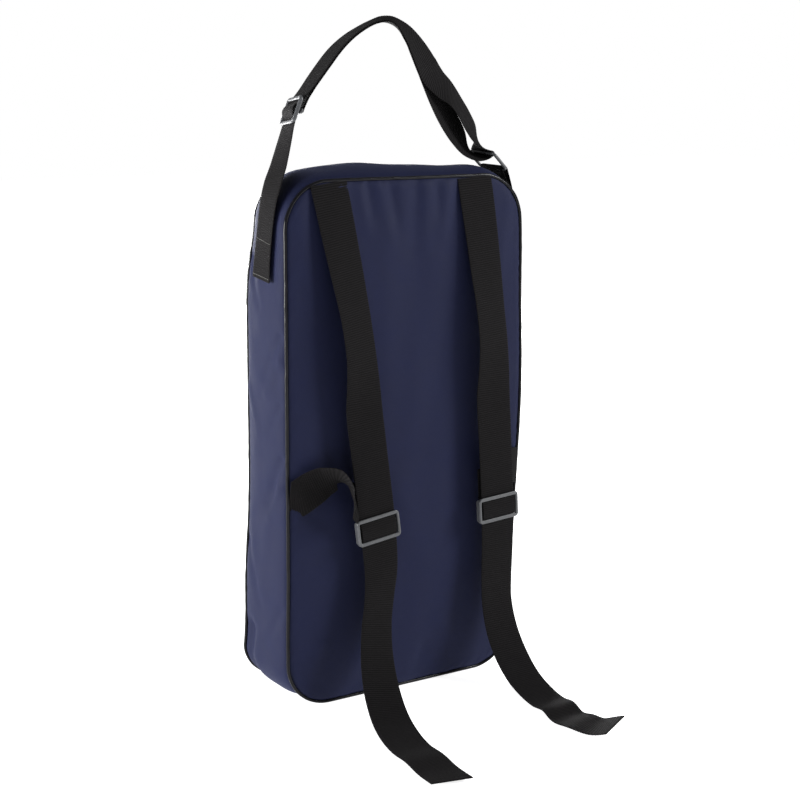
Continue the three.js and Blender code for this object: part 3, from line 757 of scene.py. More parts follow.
def piping_finish(settings):
    """Extruded vinyl: a soft gloss broken by faint ripples and scuffs."""
    return worn_finish("black_piping", settings.piping, 0.18, (5 * MM, 4, 0.6), (0.7, 1.8), (0.13, 0.24),
                       (3 * MM, 3, 0.5, 0.12 * MM, 0.35), specular=0.13)


def plastic_finish(settings):
    """Moulded acetal: satin, with the mould's fine grain, and rubbed paler in patches."""
    return worn_finish("grey_plastic", settings.plastic, 0.38, (7 * MM, 4, 0.6), (0.75, 1.45), (0.30, 0.46),
                       (0.5 * MM, 2, 0.5, 0.04 * MM, 0.4), specular=0.4)


def zip_cloth_finish(name, colour):
    """Tightly woven tape: a herringbone of fine yarns with a matt surface."""
    look = Finish(name, colour, 0.8, specular=0.25)
    uv, u, v = look.pattern()
    twill = look.wave(look.math("ADD", v, look.math("PINGPONG", u, 2.4 * MM)), 0.7 * MM)
    fuzz = look.noise(uv, 1.1 * MM, 3, 0.6)
    look.dye(look.total((twill, 0.6), (fuzz, 0.4)), 0.6, 1.5)
    look.polish(fuzz, 0.7, 0.92)
    look.relief(twill, 0.12 * MM, 0.7)
    return look


def thread_finish(name, colour):
    """Twisted sewing thread: fine slanted strands with a little gloss."""
    look = Finish(name, colour, 0.55, specular=0.4)
    strand = look.noise(look.place(), 0.4 * MM, 2, 0.5)
    look.dye(strand, 0.7, 1.35)
    look.relief(strand, 0.08 * MM, 0.6)
    return look


def nylon_finish():
    """The zip's coil: smooth black nylon, slightly dusty."""
    return worn_finish("zip_nylon", (0.014, 0.014, 0.016), 0.35, (4 * MM, 3, 0.6), (0.7, 1.9), (0.28, 0.5))


def metal_finish():
    """Plated zinc: satin metal with fine scratches and dull patches."""
    return worn_finish("zip_metal", (0.24, 0.245, 0.26), 0.34, (3 * MM, 5, 0.65), (0.7, 1.2), (0.22, 0.48),
                       (0.35 * MM, 3, 0.6, 0.03 * MM, 0.4), metallic=1.0)


def lining_finish():
    """Black covered board: a leathery cover over stiff board, scuffed along its raised grain."""
    look = worn_finish("black_lining", (0.018, 0.018, 0.020), 0.75, (30 * MM, 5, 0.6), (0.7, 1.6),
                       (0.6, 0.85), specular=0.3)
    grain = look.node("ShaderNodeTexVoronoi", {"Vector": look.place(), "Scale": 1 / (1.6 * MM)})
    look.relief(grain.outputs[0], 0.15 * MM, 0.5)
    return look


def floor_finish(settings):
    """A plain pale floor, lit from below like a light table, with the faintest unevenness."""
    look = worn_finish("pale_floor", settings.floor, 0.9, (0.6, 2, 0.5), (0.985, 1.01), specular=0.1)
    look.set("Emission Color", (1, 1, 1, 1))
    look.set("Emission Strength", 0.80)
    return look


FINISHES = {}


def finish(name):
    """A finish by name, made the first time that it is asked for."""
    scene = bpy.context.scene
    makers = {
        "cloth": (cloth_finish, scene.shoe_bag_cloth),
        "webbing": (webbing_finish, scene.shoe_bag_webbing),
        "piping": (piping_finish, scene.shoe_bag_trim),
        "plastic": (plastic_finish, scene.shoe_bag_trim),
        "zip_tape": (zip_cloth_finish, "zip_tape", (0.010, 0.010, 0.013)),
        "binding": (zip_cloth_finish, "binding_tape", (0.020, 0.020, 0.023)),
        "nylon": (nylon_finish,),
        "metal": (metal_finish,),
        "lining": (lining_finish,),
        "grey_thread": (thread_finish, "grey_thread", (0.085, 0.085, 0.078)),
        "navy_thread": (thread_finish, "navy_thread", (0.018, 0.021, 0.060)),
        "floor": (floor_finish, scene.shoe_bag_stage),
    }
    if name not in FINISHES:
        maker, *choices = makers[name]
        FINISHES[name] = maker(*choices).material
    return FINISHES[name]


def give_finish(nodes, name):
    """Gives the frame's own solids, whose meshes stay as they are, a better material."""
    for node in nodes:
        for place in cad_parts[node].material_slots:
            place.material = finish(name)


# ---------- webbing, stitches and small fittings ----------

def mm_rows(stations):
    """Listed stations, their places written in millimetres, as metres."""
    stations = np.asarray(stations, float)
    return stations * ([MM] * 3 + [1] * (stations.shape[1] - 3))


def framed(line):
    """A line's places, its directions, its width directions and the third direction of each place.

    A line carries either a width direction, made square to it here, or an angle t in degrees: its width
    is then cos t times +Y plus sin t times the direction square to both +Y and the line.
    """
    centres = line[:, :3]
    along = unit(np.gradient(centres, axis=0))
    across = line[:, 3:]
    if across.shape[1] == 1:
        turn = np.radians(across)
        across = np.cos(turn) * Y_AXIS + np.sin(turn) * np.cross(along, Y_AXIS)
    across = unit(across - (across * along).sum(-1, keepdims=True) * along)
    return centres, along, across, np.cross(along, across)


def webbing(line, width=WEBBING_WIDTH, thickness=WEBBING_THICKNESS, first_slant=0.0, last_slant=0.0,
            share=(0.0, 1.0)):
    """Woven strapping along a line: flat, ribbed across, with a thin scalloped edge and slanted ends.

    Its thickness falls by 1 - cos between its ribs, and its edge follows them by a tenth of a millimetre.
    Only the stretch between the two shares of its length is made.
    """
    settings = bpy.context.scene.shoe_bag_webbing
    line = smooth_line(line, settings.rib_pitch / 4)
    centres, along, across, out = framed(line)
    run = lengths_along(centres)
    groove = (0.5 - 0.5 * np.cos(2 * math.pi * run / settings.rib_pitch))[:, None]
    place = np.array([-1, -0.985, -0.93, -0.66, -0.42, -0.2, 0, 0.2, 0.42, 0.66, 0.93, 0.985, 1.0])
    height = np.array([0.22, 0.72, 1, 1, 1, 1, 1, 1, 1, 1, 1, 0.72, 0.22]) * thickness / 2
    rib = np.array([0, 0.6, 1, 1, 1, 1, 1, 1, 1, 1, 1, 0.6, 0]) * settings.rib_depth
    edge = np.array([-1, -0.7, 0, 0, 0, 0, 0, 0, 0, 0, 0, 0.7, 1.0]) * 0.12 * MM
    a = place * width / 2 - edge * groove
    b = height - rib * groove
    section = np.stack([np.hstack([a, a[:, ::-1]]), np.hstack([b, -b[:, ::-1]])], -1)
    fade = 40 * MM
    slant = first_slant * np.clip(1 - run / fade, 0, 1) ** 2
    slant = slant + last_slant * np.clip(1 - (run[-1] - run) / fade, 0, 1) ** 2
    aside = across + slant[:, None] * along
    low, high = (int(round(at * (len(run) - 1))) for at in share)
    part = slice(low, high + 1)
    return sweep(section[part], centres[part], aside[part], out[part]), run[high] - run[low]


def stitch_template(length=2.1 * MM, thickness=0.5 * MM):
    """One stitch: a short thread along the first axis that dips at both ends towards the third."""
    share = np.array([-1, -0.8, -0.3, 0.3, 0.8, 1.0])
    bulk = np.array([0.45, 0.9, 1, 1, 0.9, 0.45])
    centres = np.stack([share * length / 2, 0 * share, -0.3 * MM * share ** 4], -1)
    return sweep(oval(thickness, thickness * 0.8, 6) * bulk[:, None, None], centres, Y_AXIS, Z_AXIS)


def strap_piece(name, line, held, width=WEBBING_WIDTH, **ends):
    """A length of webbing as a piece, of the given width."""
    shape, length = webbing(line, width, **ends)
    piece = make_piece(name, shape, finish("webbing"))
    return piece


def stitch_row(points, outward, pitch=2.6 * MM):
    """Stitches along a line, on the side that outward names, each between two needle holes."""
    run = lengths_along(points)
    wanted = np.arange(pitch / 2, run[-1], pitch)
    up = unit(at_lengths(wanted, run, np.broadcast_to(outward, points.shape)))
    nearby = 0.1 * MM
    along = unit(at_lengths(wanted + nearby, run, points) - at_lengths(wanted - nearby, run, points))
    aside = unit(np.cross(up, along))
    return scatter(stitch_template(), at_lengths(wanted, run, points),
                   np.stack([along, aside, np.cross(along, aside)], 1))


def strap_stitches(line, rows, reach, lift):
    """Stitch rows across a strap, at lengths along it, out to a reach on both sides of its middle."""
    centres, _, across, out = framed(smooth_line(line, 1 * MM))
    offset = np.linspace(-reach, reach, 30)[:, None]
    return merge([stitch_row(centres[i] + offset * across[i] + lift * out[i], out[i])
                  for i in (int(round(at / MM)) for at in rows)])


def slide_frame(centre, across, up, out, rail_growth=5.2):
    """A three-bar slide: a rounded frame 46 by 26 mm, thin at its end bars, and a middle bar at its back.

    Round the frame, a section runs from the window to the outer edge. Its depth is 1.8 mm on the end
    bars and grows with the square of the sideways part of the edge's direction on the rails.
    """
    core, normal, _ = outline(112, 23 * MM, -13 * MM, 13 * MM, 4 * MM)
    ring = oval(1, 1, 16, 3.2)
    share = ring[:, 0] + 0.5
    sideways = normal[:, :1] ** 2
    depth = (1.8 + rail_growth * sideways) * MM
    side = core[:, :1] + normal[:, :1] * (1.0 * MM + 3.0 * MM * share)
    rise = core[:, 1:] + normal[:, 1:] * (0.5 * MM + 3.5 * MM * share)
    face = 3.5 * MM - depth * (0.5 - ring[:, 1]) + 0.35 * MM * sideways
    points = centre + side[..., None] * across + rise[..., None] * up + face[..., None] * out
    quads = grid_quads(*side.shape, wrap_rows=True, wrap_columns=True)
    reach = np.linspace(-20.6, 20.6, 13)[:, None] * MM
    bar = sweep(oval(4.4 * MM, 2.1 * MM, 12, 3), centre + reach * across - 2.35 * MM * out, up, out)
    return merge([(points.reshape(-1, 3), quads, np.zeros((len(quads), 4, 2))), bar])


def axes(across, up):
    """Two directions made square to each other, and the third, which they face out along."""
    across, up = unit(np.array(across, float)), np.array(up, float)
    up = unit(up - (up @ across) * across)
    return across, up, np.cross(up, across)


# ---------- the shell ----------

class SHOEBAG_OT_gusset(bpy.types.Operator):
    """Adds the gusset that runs all round between the back and the front"""

    bl_idname = "shoebag.gusset"
    bl_label = "Gusset"

    def execute(self, context):
        rows, columns = 520, 45
        inner, normal, length = outline(rows)
        depth = GUSSET_HALF * np.sin(math.pi / 2 * np.linspace(-1, 1, columns))[None, :]
        face = gusset_face(context.scene.shoe_bag_cloth, inner, normal, depth)
        around = 2 * (BAG_WIDTH + BAG_HEIGHT - 4 * CORNER_RADIUS) + 2 * math.pi * CORNER_RADIUS
        corner_uv = grid_uv(rows, columns, depth[0], np.append(length, around), wrap_rows=True)
        gusset = cloth_piece(
            "gusset_cloth", face.reshape(-1, 3), grid_quads(rows, columns, wrap_rows=True), corner_uv)
        finish_piece(gusset, "bag", "navy_polyester",
                     "gusset_left", "gusset_right", "gusset_top", "gusset_base")
        return {"FINISHED"}


class SHOEBAG_OT_back_panel(bpy.types.Operator):
    """Adds the back panel, gathered between the straps and drawn in at its seam"""

    bl_idname = "shoebag.back_panel"
    bl_label = "Back Panel"

    def execute(self, context):
        z = corner_rows(PANEL_INSET, BAG_HEIGHT - PANEL_INSET, PANEL_RADIUS, 3.2 * MM)
        share = np.linspace(-1, 1, 101)
        # the columns stand closer together near the seam
        share = 0.35 * share + 0.65 * np.sin(math.pi / 2 * share)
        places = flat(half_width_at(z, PANEL_INSET)[:, None] * share, z[:, None])
        quads = grid_quads(*places.shape[:2])
        places = places.reshape(-1, 2)
        height = back_face(context.scene.shoe_bag_cloth, *places.T)
        points = in_space(settle(places, -1.0), -BAG_DEPTH / 2 - height)
        panel = cloth_piece("back_panel_cloth", points, quads, places[quads])
        finish_piece(panel, "bag", "navy_polyester", "back_panel")
        return {"FINISHED"}


class SHOEBAG_OT_front(bpy.types.Operator):
    """Adds the front: its border outside the zip, the fold below and the flap"""

    bl_idname = "shoebag.front"
    bl_label = "Front and Flap"

    def execute(self, context):
        slot_in, slot_out = ZIP_X - SLOT_HALF, ZIP_X + SLOT_HALF
        foot_half = float(half_width_at(np.array(ZIP_FOOT), PANEL_INSET))
        band = np.linspace(0, 1, 15)
        half_row = np.concatenate([
            slot_in + (slot_out - slot_in) * np.linspace(0, 1, 5)[1:],
            slot_out + (foot_half - slot_out) * band[1:]])
        middle_row = np.linspace(-slot_in, slot_in, 53)
        foot_row = np.concatenate([-half_row[::-1], middle_row, half_row])

        # up one side: from the slot's edge to the outline, at the same share of each one's height
        inner_top, outer_top = ZIP_TOP - ZIP_CORNER, BAG_HEIGHT - CORNER_RADIUS
        rise = np.linspace(0, 1, 130)
        outer_z = ZIP_FOOT + (outer_top - ZIP_FOOT) * rise
        inner_side = flat(slot_out, ZIP_FOOT + (inner_top - ZIP_FOOT) * rise)
        outer_side = flat(half_width_at(outer_z, PANEL_INSET), outer_z)
        # round the corner: two arcs at the same angles
        turn = np.linspace(0, math.pi / 2, 22)[1:, None]
        arc = np.hstack([np.cos(turn), np.sin(turn)])
        inner_arc = [ZIP_X - ZIP_CORNER, inner_top] + (ZIP_CORNER + SLOT_HALF) * arc
        outer_arc = [BAG_WIDTH / 2 - CORNER_RADIUS, outer_top] + PANEL_RADIUS * arc
        # over the top: to the other side's mirror
        across = np.linspace(1, -1, 56)[1:-1, None]
        inner_line, outer_line = (
            np.vstack([side, corner, corner[-1] * np.hstack([across, across * 0 + 1]),
                       corner[::-1] * [-1, 1], side[::-1] * [-1, 1]])[:, None]
            for side, corner in ((inner_side, inner_arc), (outer_side, outer_arc)))
        surround = inner_line * (1 - band[:, None]) + outer_line * band[:, None]

        turn = np.linspace(0, math.acos((CORNER_RADIUS - ZIP_FOOT) / PANEL_RADIUS), 14)
        low_z = CORNER_RADIUS - PANEL_RADIUS * np.cos(turn)
        low_z[-1] = ZIP_FOOT
        low = flat(half_width_at(low_z, PANEL_INSET)[:, None] * foot_row / foot_half, low_z[:, None])

        fold_half = 5.1 * MM
        fold_low, fold_high = FOLD_HEIGHT - fold_half, FOLD_HEIGHT + fold_half
        middle = flat(middle_row, np.linspace(ZIP_FOOT, fold_low, 7)[:, None])
        places, quads = weld([surround, low, middle])
        border = front_piece("front_border_cloth", places, quads)
        finish_piece(border, "bag", "navy_polyester", "front_border")

        fold = front_piece("front_fold_cloth", *weld([
            flat(middle_row, np.linspace(fold_low, fold_high, 9)[:, None])]))
        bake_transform(fold)

        corner = ZIP_CORNER - SLOT_HALF
        arc = np.linspace(0, math.pi / 2, 16)
        z = np.concatenate([np.linspace(fold_high, inner_top, 128), inner_top + corner * np.sin(arc[1:])])
        half = slot_in - corner + np.sqrt(np.maximum(corner ** 2 - np.maximum(z - inner_top, 0) ** 2, 0))
        flap = front_piece("front_flap_cloth", *weld([
            flat(half[:, None] * np.linspace(-1, 1, 53), z[:, None])]))
        finish_piece(flap, "flap", "navy_polyester", "front_flap")
        return {"FINISHED"}


class SHOEBAG_OT_seams(bpy.types.Operator):
    """Adds the piping round both seams and the bindings inside, and gives the boards a black covered finish
    """

    bl_idname = "shoebag.seams"
    bl_label = "Piping and Bindings"

    def execute(self, context):
        inner, normal, length = outline(640)
        x, z = (inner + normal * CORNER_RADIUS).T

        def loop(inset, depth, section, side, settled):
            """A section swept all round the bag, that far inside its outline and that far from its middle."""
            out = CORNER_RADIUS - inset + (seam_drift(x, z, side) + settled)
            centres = in_space(inner + normal * out[:, None], side * depth)
            return sweep(section, centres, Y_AXIS, in_space(normal), closed=True)

        for side, name in ((-1, "back"), (1, "front")):
            wobble = 0.16 * MM * ripples(length, length * 0, 17 * MM, 21 + side)
            bead = loop(PIPING_RADIUS, BAG_DEPTH / 2 - PIPING_RADIUS,
                        oval(2 * PIPING_RADIUS, 2 * PIPING_RADIUS, 14), side,
                        wobble * np.clip(z / (20 * MM), 0, 1))
            piping = make_piece(f"{name}_piping_bead", bead, finish("piping"))
            finish_piece(piping, "bag", "black_piping", f"{name}_piping")
            # the front binding stays tucked in where the front has settled outwards near its foot
            tuck = {"back": 0, "front": -5.0}[name] * MM * np.exp(-((z - 32 * MM) / (36 * MM)) ** 2)
            inset, depth, thickness = 3.3 * MM, 30.6 * MM, 0.9 * MM
            tape = loop(inset, depth, oval(BINDING_WIDTH, thickness, 16, 5), side, tuck)
            binding = make_piece(f"{name}_seam_binding_tape", tape, finish("binding"))
            finish_piece(binding, "bag", "zip_cloth", f"{name}_seam_binding")
        give_finish(["back_board", "base_board"], "lining")
        return {"FINISHED"}


# ---------- the zip ----------

class SHOEBAG_OT_zip(bpy.types.Operator):
    """Adds the zip's two tapes, the coils and their tails, and gives the slider, the pull and the end stops a
    metal finish
    """

    bl_idname = "shoebag.zip"
    bl_label = "Zip"

    def execute(self, context):
        pitch = context.scene.shoe_bag_trim.coil_pitch
        tape_y, coil_y = ZIP_FACE - 0.6 * MM, ZIP_FACE - 1.0 * MM
        flap_foot = FOLD_HEIGHT + 0.5 * MM

        def tape(body, foot, low, high):
            """One side's tape, from its edge at low to its edge at high outside the zip's line."""
            place, normal = zip_line(foot, 3 * MM)
            centres = in_space(place + normal * (low + high) / 2, tape_y)
            shape = sweep(oval(high - low, 0.8 * MM, 16, 6), centres, in_space(normal), Y_AXIS)
            made = make_piece(f"zip_tape_{body}_cloth", shape, finish("zip_tape"))
            finish_piece(made, body, "zip_cloth", f"zip_tape_{body}")

        def teeth(node, body, part, side, shift):
            """A coil's teeth on part of the zip's line, reaching out or in, shifted by a share of a pitch."""
            run = lengths_along(place[part])
            at = np.arange(shift * pitch + pitch / 2, run[-1], pitch)
            out = unit(in_space(at_lengths(at, run, normal[part]))) * side
            reach = np.array([-0.7, -0.35, 1.0, 2.6, 3.2]) * MM
            bulk = np.array([0.55, 1, 0.95, 0.95, 0.6])
            tooth = sweep(oval(0.74 * MM, 1.8 * MM, 6, 2.6) * bulk[:, None, None],
                          np.stack([reach, 0 * reach, 0 * reach], -1), Y_AXIS, Z_AXIS)
            turned = np.stack([out, np.cross(out, Y_AXIS), np.broadcast_to(Y_AXIS, out.shape)], 1)
            shape = scatter(tooth, in_space(at_lengths(at, run, place[part]), coil_y), turned)
            finish_piece(make_piece(f"{node}_teeth", shape, finish("nylon")), body, "zip_cloth", node)

        near, far = 3.1 * MM, 13.3 * MM
        tape("bag", ZIP_FOOT, near, far)
        tape("flap", flap_foot, -far, -near)
        place, normal = zip_line(ZIP_FOOT, 1 * MM)
        x, z = place.T
        teeth("zip_coil_bag", "bag", slice(None), 1, 0.0)
        teeth("zip_coil_flap", "flap", z > flap_foot, -1, 0.5)
        for name, half in (("right", x > 0), ("left", x < 0)):
            teeth(f"zip_coil_tail_{name}", "bag", (z < FOLD_HEIGHT - 0.3 * MM) & half, -1, 0.5)
        give_finish(["zip_slider", "zip_pull", "zip_end_stop_left", "zip_end_stop_right"], "metal")
        return {"FINISHED"}


# ---------- the straps ----------

CARRY_FOOT = mm_rows([
    (-132.2, -3.5, 405, -3), (-131.4, -4.5, 422, -5), (-130.2, -6, 440, -6), (-129, -8, 458, -6),
    (-127, -9.5, 475, -5), (-122.2, -9, 491, -4), (-114.5, -5.5, 507, -6), (-107.2, -2, 525, -9),
    (-101.4, 0, 541, -12), (-96.7, 0, 553.3, -13), (-92.2, 0, 562.8, -11)])
CARRY_ARCH = mm_rows([
    (-82, 0, 573, -9), (-70, 0, 588, -8), (-52, 0, 608.5, -8), (-36, 0, 621, -8), (-18, 0, 630, -6),
    (-4, 0, 633, 3), (9, 0, 630.5, 25), (24, 0, 620, 42), (36, 0, 605, 53), (46.5, 0, 589, 60)])
CARRY_OUTER = mm_rows([
    (58.5, 0, 577.5, 54), (70.5, 0, 568.5, 47), (81.3, 0, 556, 44), (91.6, 0, 541, 45), (100, 0, 528.5, 40),
    (105.5, 0, 519, 22)])
CARRY_RING_TURN = mm_rows([
    (108.6, 0, 513.6, 0), (110.0, 0, 511.4, 0), (108.4, 0, 509.2, 0), (103, 0, 508.7, -8)])
CARRY_INNER = mm_rows([
    (96, 0, 511.8, -26), (88.4, 0, 519, -44), (78.6, 0, 531.2, -54), (67.2, 0, 547, -57),
    (57.5, 0, 565, -60)])
CARRY_LOOP_END = mm_rows([
    (-85.2, 0, 564.5, 14), (-90.2, 0, 556.2, 13), (-92.2, 0, 551.4, 13)])
TAB_LINE = mm_rows([
    (135.4, 0, 405, 0), (135.2, 0, 422, 0), (134.7, 0, 440, 0), (133.2, 0, 460, 0), (128.6, 0, 478, 0),
    (122.6, 0, 489.5, 0), (119.9, 0, 496, 0), (121.6, 0, 499.0, 0), (124.5, 0, 498.2, 0),
    (127.4, 0, 491, 0), (131.6, 0, 478, 0), (135.0, 0, 461, 0), (136.3, 0, 440, 0)])


def carry_line():
    """The carry strap from end to end: up its foot, over the slide, out along the arch, round the ring's
    upper bar, back under the first run and round the slide's middle bar."""
    arch = smooth_line(CARRY_ARCH, 9 * MM)
    half_gap = 0.72 * MM * framed(arch)[3]
    outer, inner = arch.copy(), arch.copy()
    outer[:, :3] += half_gap
    inner[:, :3] -= half_gap
    inner[:, 3] *= -1
    return np.vstack([CARRY_FOOT, outer, CARRY_OUTER, CARRY_RING_TURN, CARRY_INNER, inner[::-1],
                      CARRY_LOOP_END])


class SHOEBAG_OT_carry_strap(bpy.types.Operator):
    """Adds the carry strap, its tab, their sewn ends, the slide and the ring"""

    bl_idname = "shoebag.carry_strap"
    bl_label = "Carry Strap"

    def execute(self, context):
        line = carry_line()
        strap = strap_piece("carry_strap_webbing", line, "hung")
        rows, reach, lift = (3 * MM, 35 * MM), 17 * MM, 0.58 * MM
        thread = make_piece("carry_strap_thread", strap_stitches(line, rows, reach, lift),
                            finish("grey_thread"))
        for piece in (strap, thread):
            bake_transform(piece)
        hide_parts("carry_strap", "carry_strap_sewn_end")

        tab = strap_piece("carry_tab_webbing", TAB_LINE, "stretched")
        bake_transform(tab)
        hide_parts("carry_tab", "carry_tab_sewn_end")

        across, up, out = axes((0.22, 0.97, -0.10), (0.371, 0, 0.928))
        out = -out if out[0] > 0 else out
        centre = frame_middle("carry_strap_adjuster")
        slide = make_piece("carry_strap_slide", slide_frame(centre, across, up, out, 1.8), finish("plastic"))
        finish_piece(slide, "carry_strap", "grey_plastic", "carry_strap_adjuster")
        share = np.linspace(-1, 1, 9)[:, None]
        swell = 1.0 + 4.6 * np.cos(math.pi / 2 * share)
        hump = np.hstack([centre + MM * (8.4 * share * up + swell * out), np.tile(across, (9, 1))])
        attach(strap_piece("carry_strap_hump_webbing", hump, "folded", HUMP_WIDTH), "carry_strap")

        half_width, half_height, corner = 21.5 * MM, 10.5 * MM, 3.5 * MM
        core, normal, _ = outline(96, half_width, -half_height, half_height, corner)
        place = core + normal * corner
        across, up, out = axes((0, 1, 0), (-1, 0, 1))
        middle = frame_middle("carry_strap_ring") - [3 * MM, 0, 0]
        centres = middle + place[:, :1] * across + place[:, 1:] * up
        ring = make_piece("carry_strap_loop_ring", sweep(
            oval(3 * MM, 3 * MM, 14, 2.3), centres, normal[:, :1] * across + normal[:, 1:] * up, out,
            closed=True), finish("plastic"))
        finish_piece(ring, "carry_strap", "grey_plastic", "carry_strap_ring")
        return {"FINISHED"}


BACK_LINES = {
    "left": mm_rows([
        (-82.4, -39.4, 492, 1, 0, 0), (-81, -41.6, 481, 1, 0.05, 0), (-75.2, -46.2, 445, 1, 0.12, 0),
        (-69.3, -50.0, 411, 1, 0.2, 0), (-62.6, -54.6, 370, 1, 0.3, 0), (-58.6, -57.4, 335, 1, 0.28, 0),
        (-57.0, -58.15, 308, 1, 0.14, 0), (-56.0, -58.15, 285, 1, 0, 0.131),
        (-50.1, -58.15, 240, 1, 0, 0.131), (-41.2, -58.15, 172, 1, 0, 0.131),
        (-37.6, -58.2, 130, 1, 0.1, 0.08), (-40.5, -60.0, 104, 1, 0.22, 0),
        (-46, -64.5, 76, 1, 0.22, 0), (-51.5, -75.5, 48, 1, 0.16, 0), (-57, -93.5, 25, 1, 0.06, 0),
        (-62.5, -116, 10.5, 1, -0.02, 0), (-67.5, -141, 3.6, 1, -0.06, 0.02), (-70.5, -166, 1.0, 1, -0.07, 0),
        (-72.6, -192, 3.0, 1, -0.08, 0), (-73.8, -215, 1.4, 1, -0.1, 0), (-76, -241, 3.5, 1, -0.12, 0)]),
    "right": mm_rows([
        (73.2, -39.4, 492, 1, 0, 0), (73.9, -41.4, 481, 1, 0, 0), (77.8, -45.4, 445, 1, 0.05, 0),
        (81.2, -49.6, 408, 1, 0.12, 0), (84.6, -54.4, 368, 1, 0.22, 0), (86.8, -57.4, 335, 1, 0.2, 0),
        (87.2, -58.15, 308, 1, 0.1, 0), (87.0, -58.15, 285, 1, 0, 0.068), (90.1, -58.15, 240, 1, 0, 0.068),
        (94.7, -58.15, 172, 1, 0, 0.068), (95.2, -58.2, 128, 1, 0.05, 0.05), (93.6, -59.6, 102, 1, 0.1, 0),
        (92.5, -64, 75, 1, 0.1, 0), (92.3, -74, 50, 1, 0.05, 0), (92.8, -90, 29, 1, 0, 0),
        (93.4, -109, 14, 1, 0, 0), (93.8, -129, 6, 1, 0, 0), (94, -148, 2.6, 1, 0.02, 0),
        (92.8, -166, 4.6, 1, 0.06, 0), (90.8, -184, 1.6, 1, 0.08, 0), (91.5, -202, 4.2, 1, 0.25, 0.03),
        (97.5, -219, 4.0, 0.9, 0.5, 0.04), (109, -231, 7.5, 0.8, 0.6, 0.04)]),
}


class SHOEBAG_OT_back_straps(bpy.types.Operator):
    """Adds the two back straps, which hang from the top seam and trail on the floor"""

    bl_idname = "shoebag.back_straps"
    bl_label = "Back Straps"

    def execute(self, context):
        for side, end_slant in (("left", 0.15), ("right", 0.35)):
            strap = f"back_strap_{side}"
            piece = strap_piece(f"{strap}_webbing", BACK_LINES[side], "hung", last_slant=end_slant)
            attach(piece, strap)
            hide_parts(strap)
        return {"FINISHED"}


ANCHOR_LINES = {
    "left": mm_rows([
        (-124.4, -39.6, 202.6, -0.545, 0, 0.84), (-115, -43.4, 208.8, -0.545, 0, 0.84),
        (-103, -46.5, 216.2, -0.54, -0.05, 0.84), (-91.5, -50, 222.4, -0.48, -0.3, 0.82),
        (-82, -55.5, 224.8, -0.36, -0.65, 0.67), (-74.5, -59, 219.5, -0.35, -0.88, 0.3),
        (-69, -58.5, 209, -0.5, -0.86, 0.05), (-60.5, -54.8, 198.5, -0.85, -0.45, -0.05),
        (-48.5, -53.0, 191, -0.99, 0, -0.13)]),
    "right": mm_rows([
        (129.2, -39.6, 206, 0, 0, 1), (121, -43.8, 208, 0, 0, 1), (112.5, -47.4, 208.5, -0.12, 0, 0.99),
        (104.5, -50.4, 206, -0.5, 0, 0.87), (98.8, -52.2, 200.8, -0.83, 0, 0.55),
        (95.6, -53, 195.8, -0.96, 0, 0.25), (94.3, -53, 191, -1, 0, 0.07)]),
}


class SHOEBAG_OT_lower_anchors(bpy.types.Operator):
    """Adds the lower anchors, from the side seams to the slides, and the slides themselves"""

    bl_idname = "shoebag.lower_anchors"
    bl_label = "Lower Anchors and Slides"

    def execute(self, context):
        for side, lean, width in (("left", -0.131, ANCHOR_WIDTH), ("right", -0.068, 35 * MM)):
            anchor, strap, slider = f"lower_anchor_{side}", f"back_strap_{side}", f"adjuster_{side}"
            centre = frame_middle(f"back_strap_{slider}")
            across, up, _ = axes((1, 0, -lean), (lean, 0, 1))
            out = -Y_AXIS
            slide = make_piece(f"back_strap_slide_{side}", slide_frame(centre, across, up, out),
                               finish("plastic"))
            finish_piece(slide, slider, "grey_plastic", f"back_strap_{slider}")

            def near_slide(rise, depth):
                """A station on the slide's own line, that far up it and that far behind its middle."""
                return np.concatenate([centre + rise * MM * up - depth * MM * out, across])

            # down behind the middle bar, round under it and up again
            loop = np.stack([near_slide(*place) for place in (
                (41, 4.4), (28, 4.4), (14, 4.4), (4, 4.5),
                (-1.4, 4.3), (-3.2, 2.4), (-1.8, 0.9), (4.5, 0.7))])
            made = strap_piece(f"lower_anchor_loop_{side}_webbing", loop, "folded", ANCHOR_WIDTH)
            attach(made, slider)
            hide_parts(f"lower_anchor_loop_{side}")
            hump = np.stack([near_slide(9.0 * s, -(2.0 + 1.25 * math.cos(math.pi / 2 * s)))
                             for s in np.linspace(-1, 1, 9)])
            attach(strap_piece(f"back_strap_hump_{side}_webbing", hump, "folded", HUMP_WIDTH), slider)

            # the ribbon: its first part crosses from the seam to the strap, its tail on to the slide
            line = ANCHOR_LINES[side]
            centres, along, across, _ = framed(smooth_line(line, 1 * MM))
            crest = int(np.argmax(centres[:, 2] - abs(centres[:, 0] - centres[-1, 0]) / 2))
            share = crest / (len(centres) - 1)
            slant = float(-across[0, 0] / along[0, 0])
            ribbon, tail = (
                strap_piece(f"{name}_webbing", line, "hung", width, first_slant=slant, share=stretch)
                for name, stretch in ((anchor, (0, share)), (f"{anchor}_tail", (share, 1))))
            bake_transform(ribbon)
            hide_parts(anchor)
            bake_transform(tail)
        return {"FINISHED"}


class SHOEBAG_OT_stitching(bpy.types.Operator):
    """Adds the rows of stitches along both sides of the zip"""

    bl_idname = "shoebag.stitching"
    bl_label = "Zip Stitching"

    def execute(self, context):
        from_slot, lift = 2 * MM, 0.08 * MM
        for name, body, foot, offset in (
                ("zip_border_thread", "bag", ZIP_FOOT + 1 * MM, SLOT_HALF + from_slot),
                ("zip_flap_thread", "flap", FOLD_HEIGHT + 5 * MM, -SLOT_HALF - from_slot)):
            place, normal = zip_line(foot, 2 * MM)
            row = place + normal * offset
            points = in_space(row, BAG_DEPTH / 2 + front_face(*row.T) + lift)
            made = make_piece(name, stitch_row(points, Y_AXIS), finish("navy_thread"))
            finish_piece(made, body, "navy_polyester")
        return {"FINISHED"}


# ---------- the stage ----------

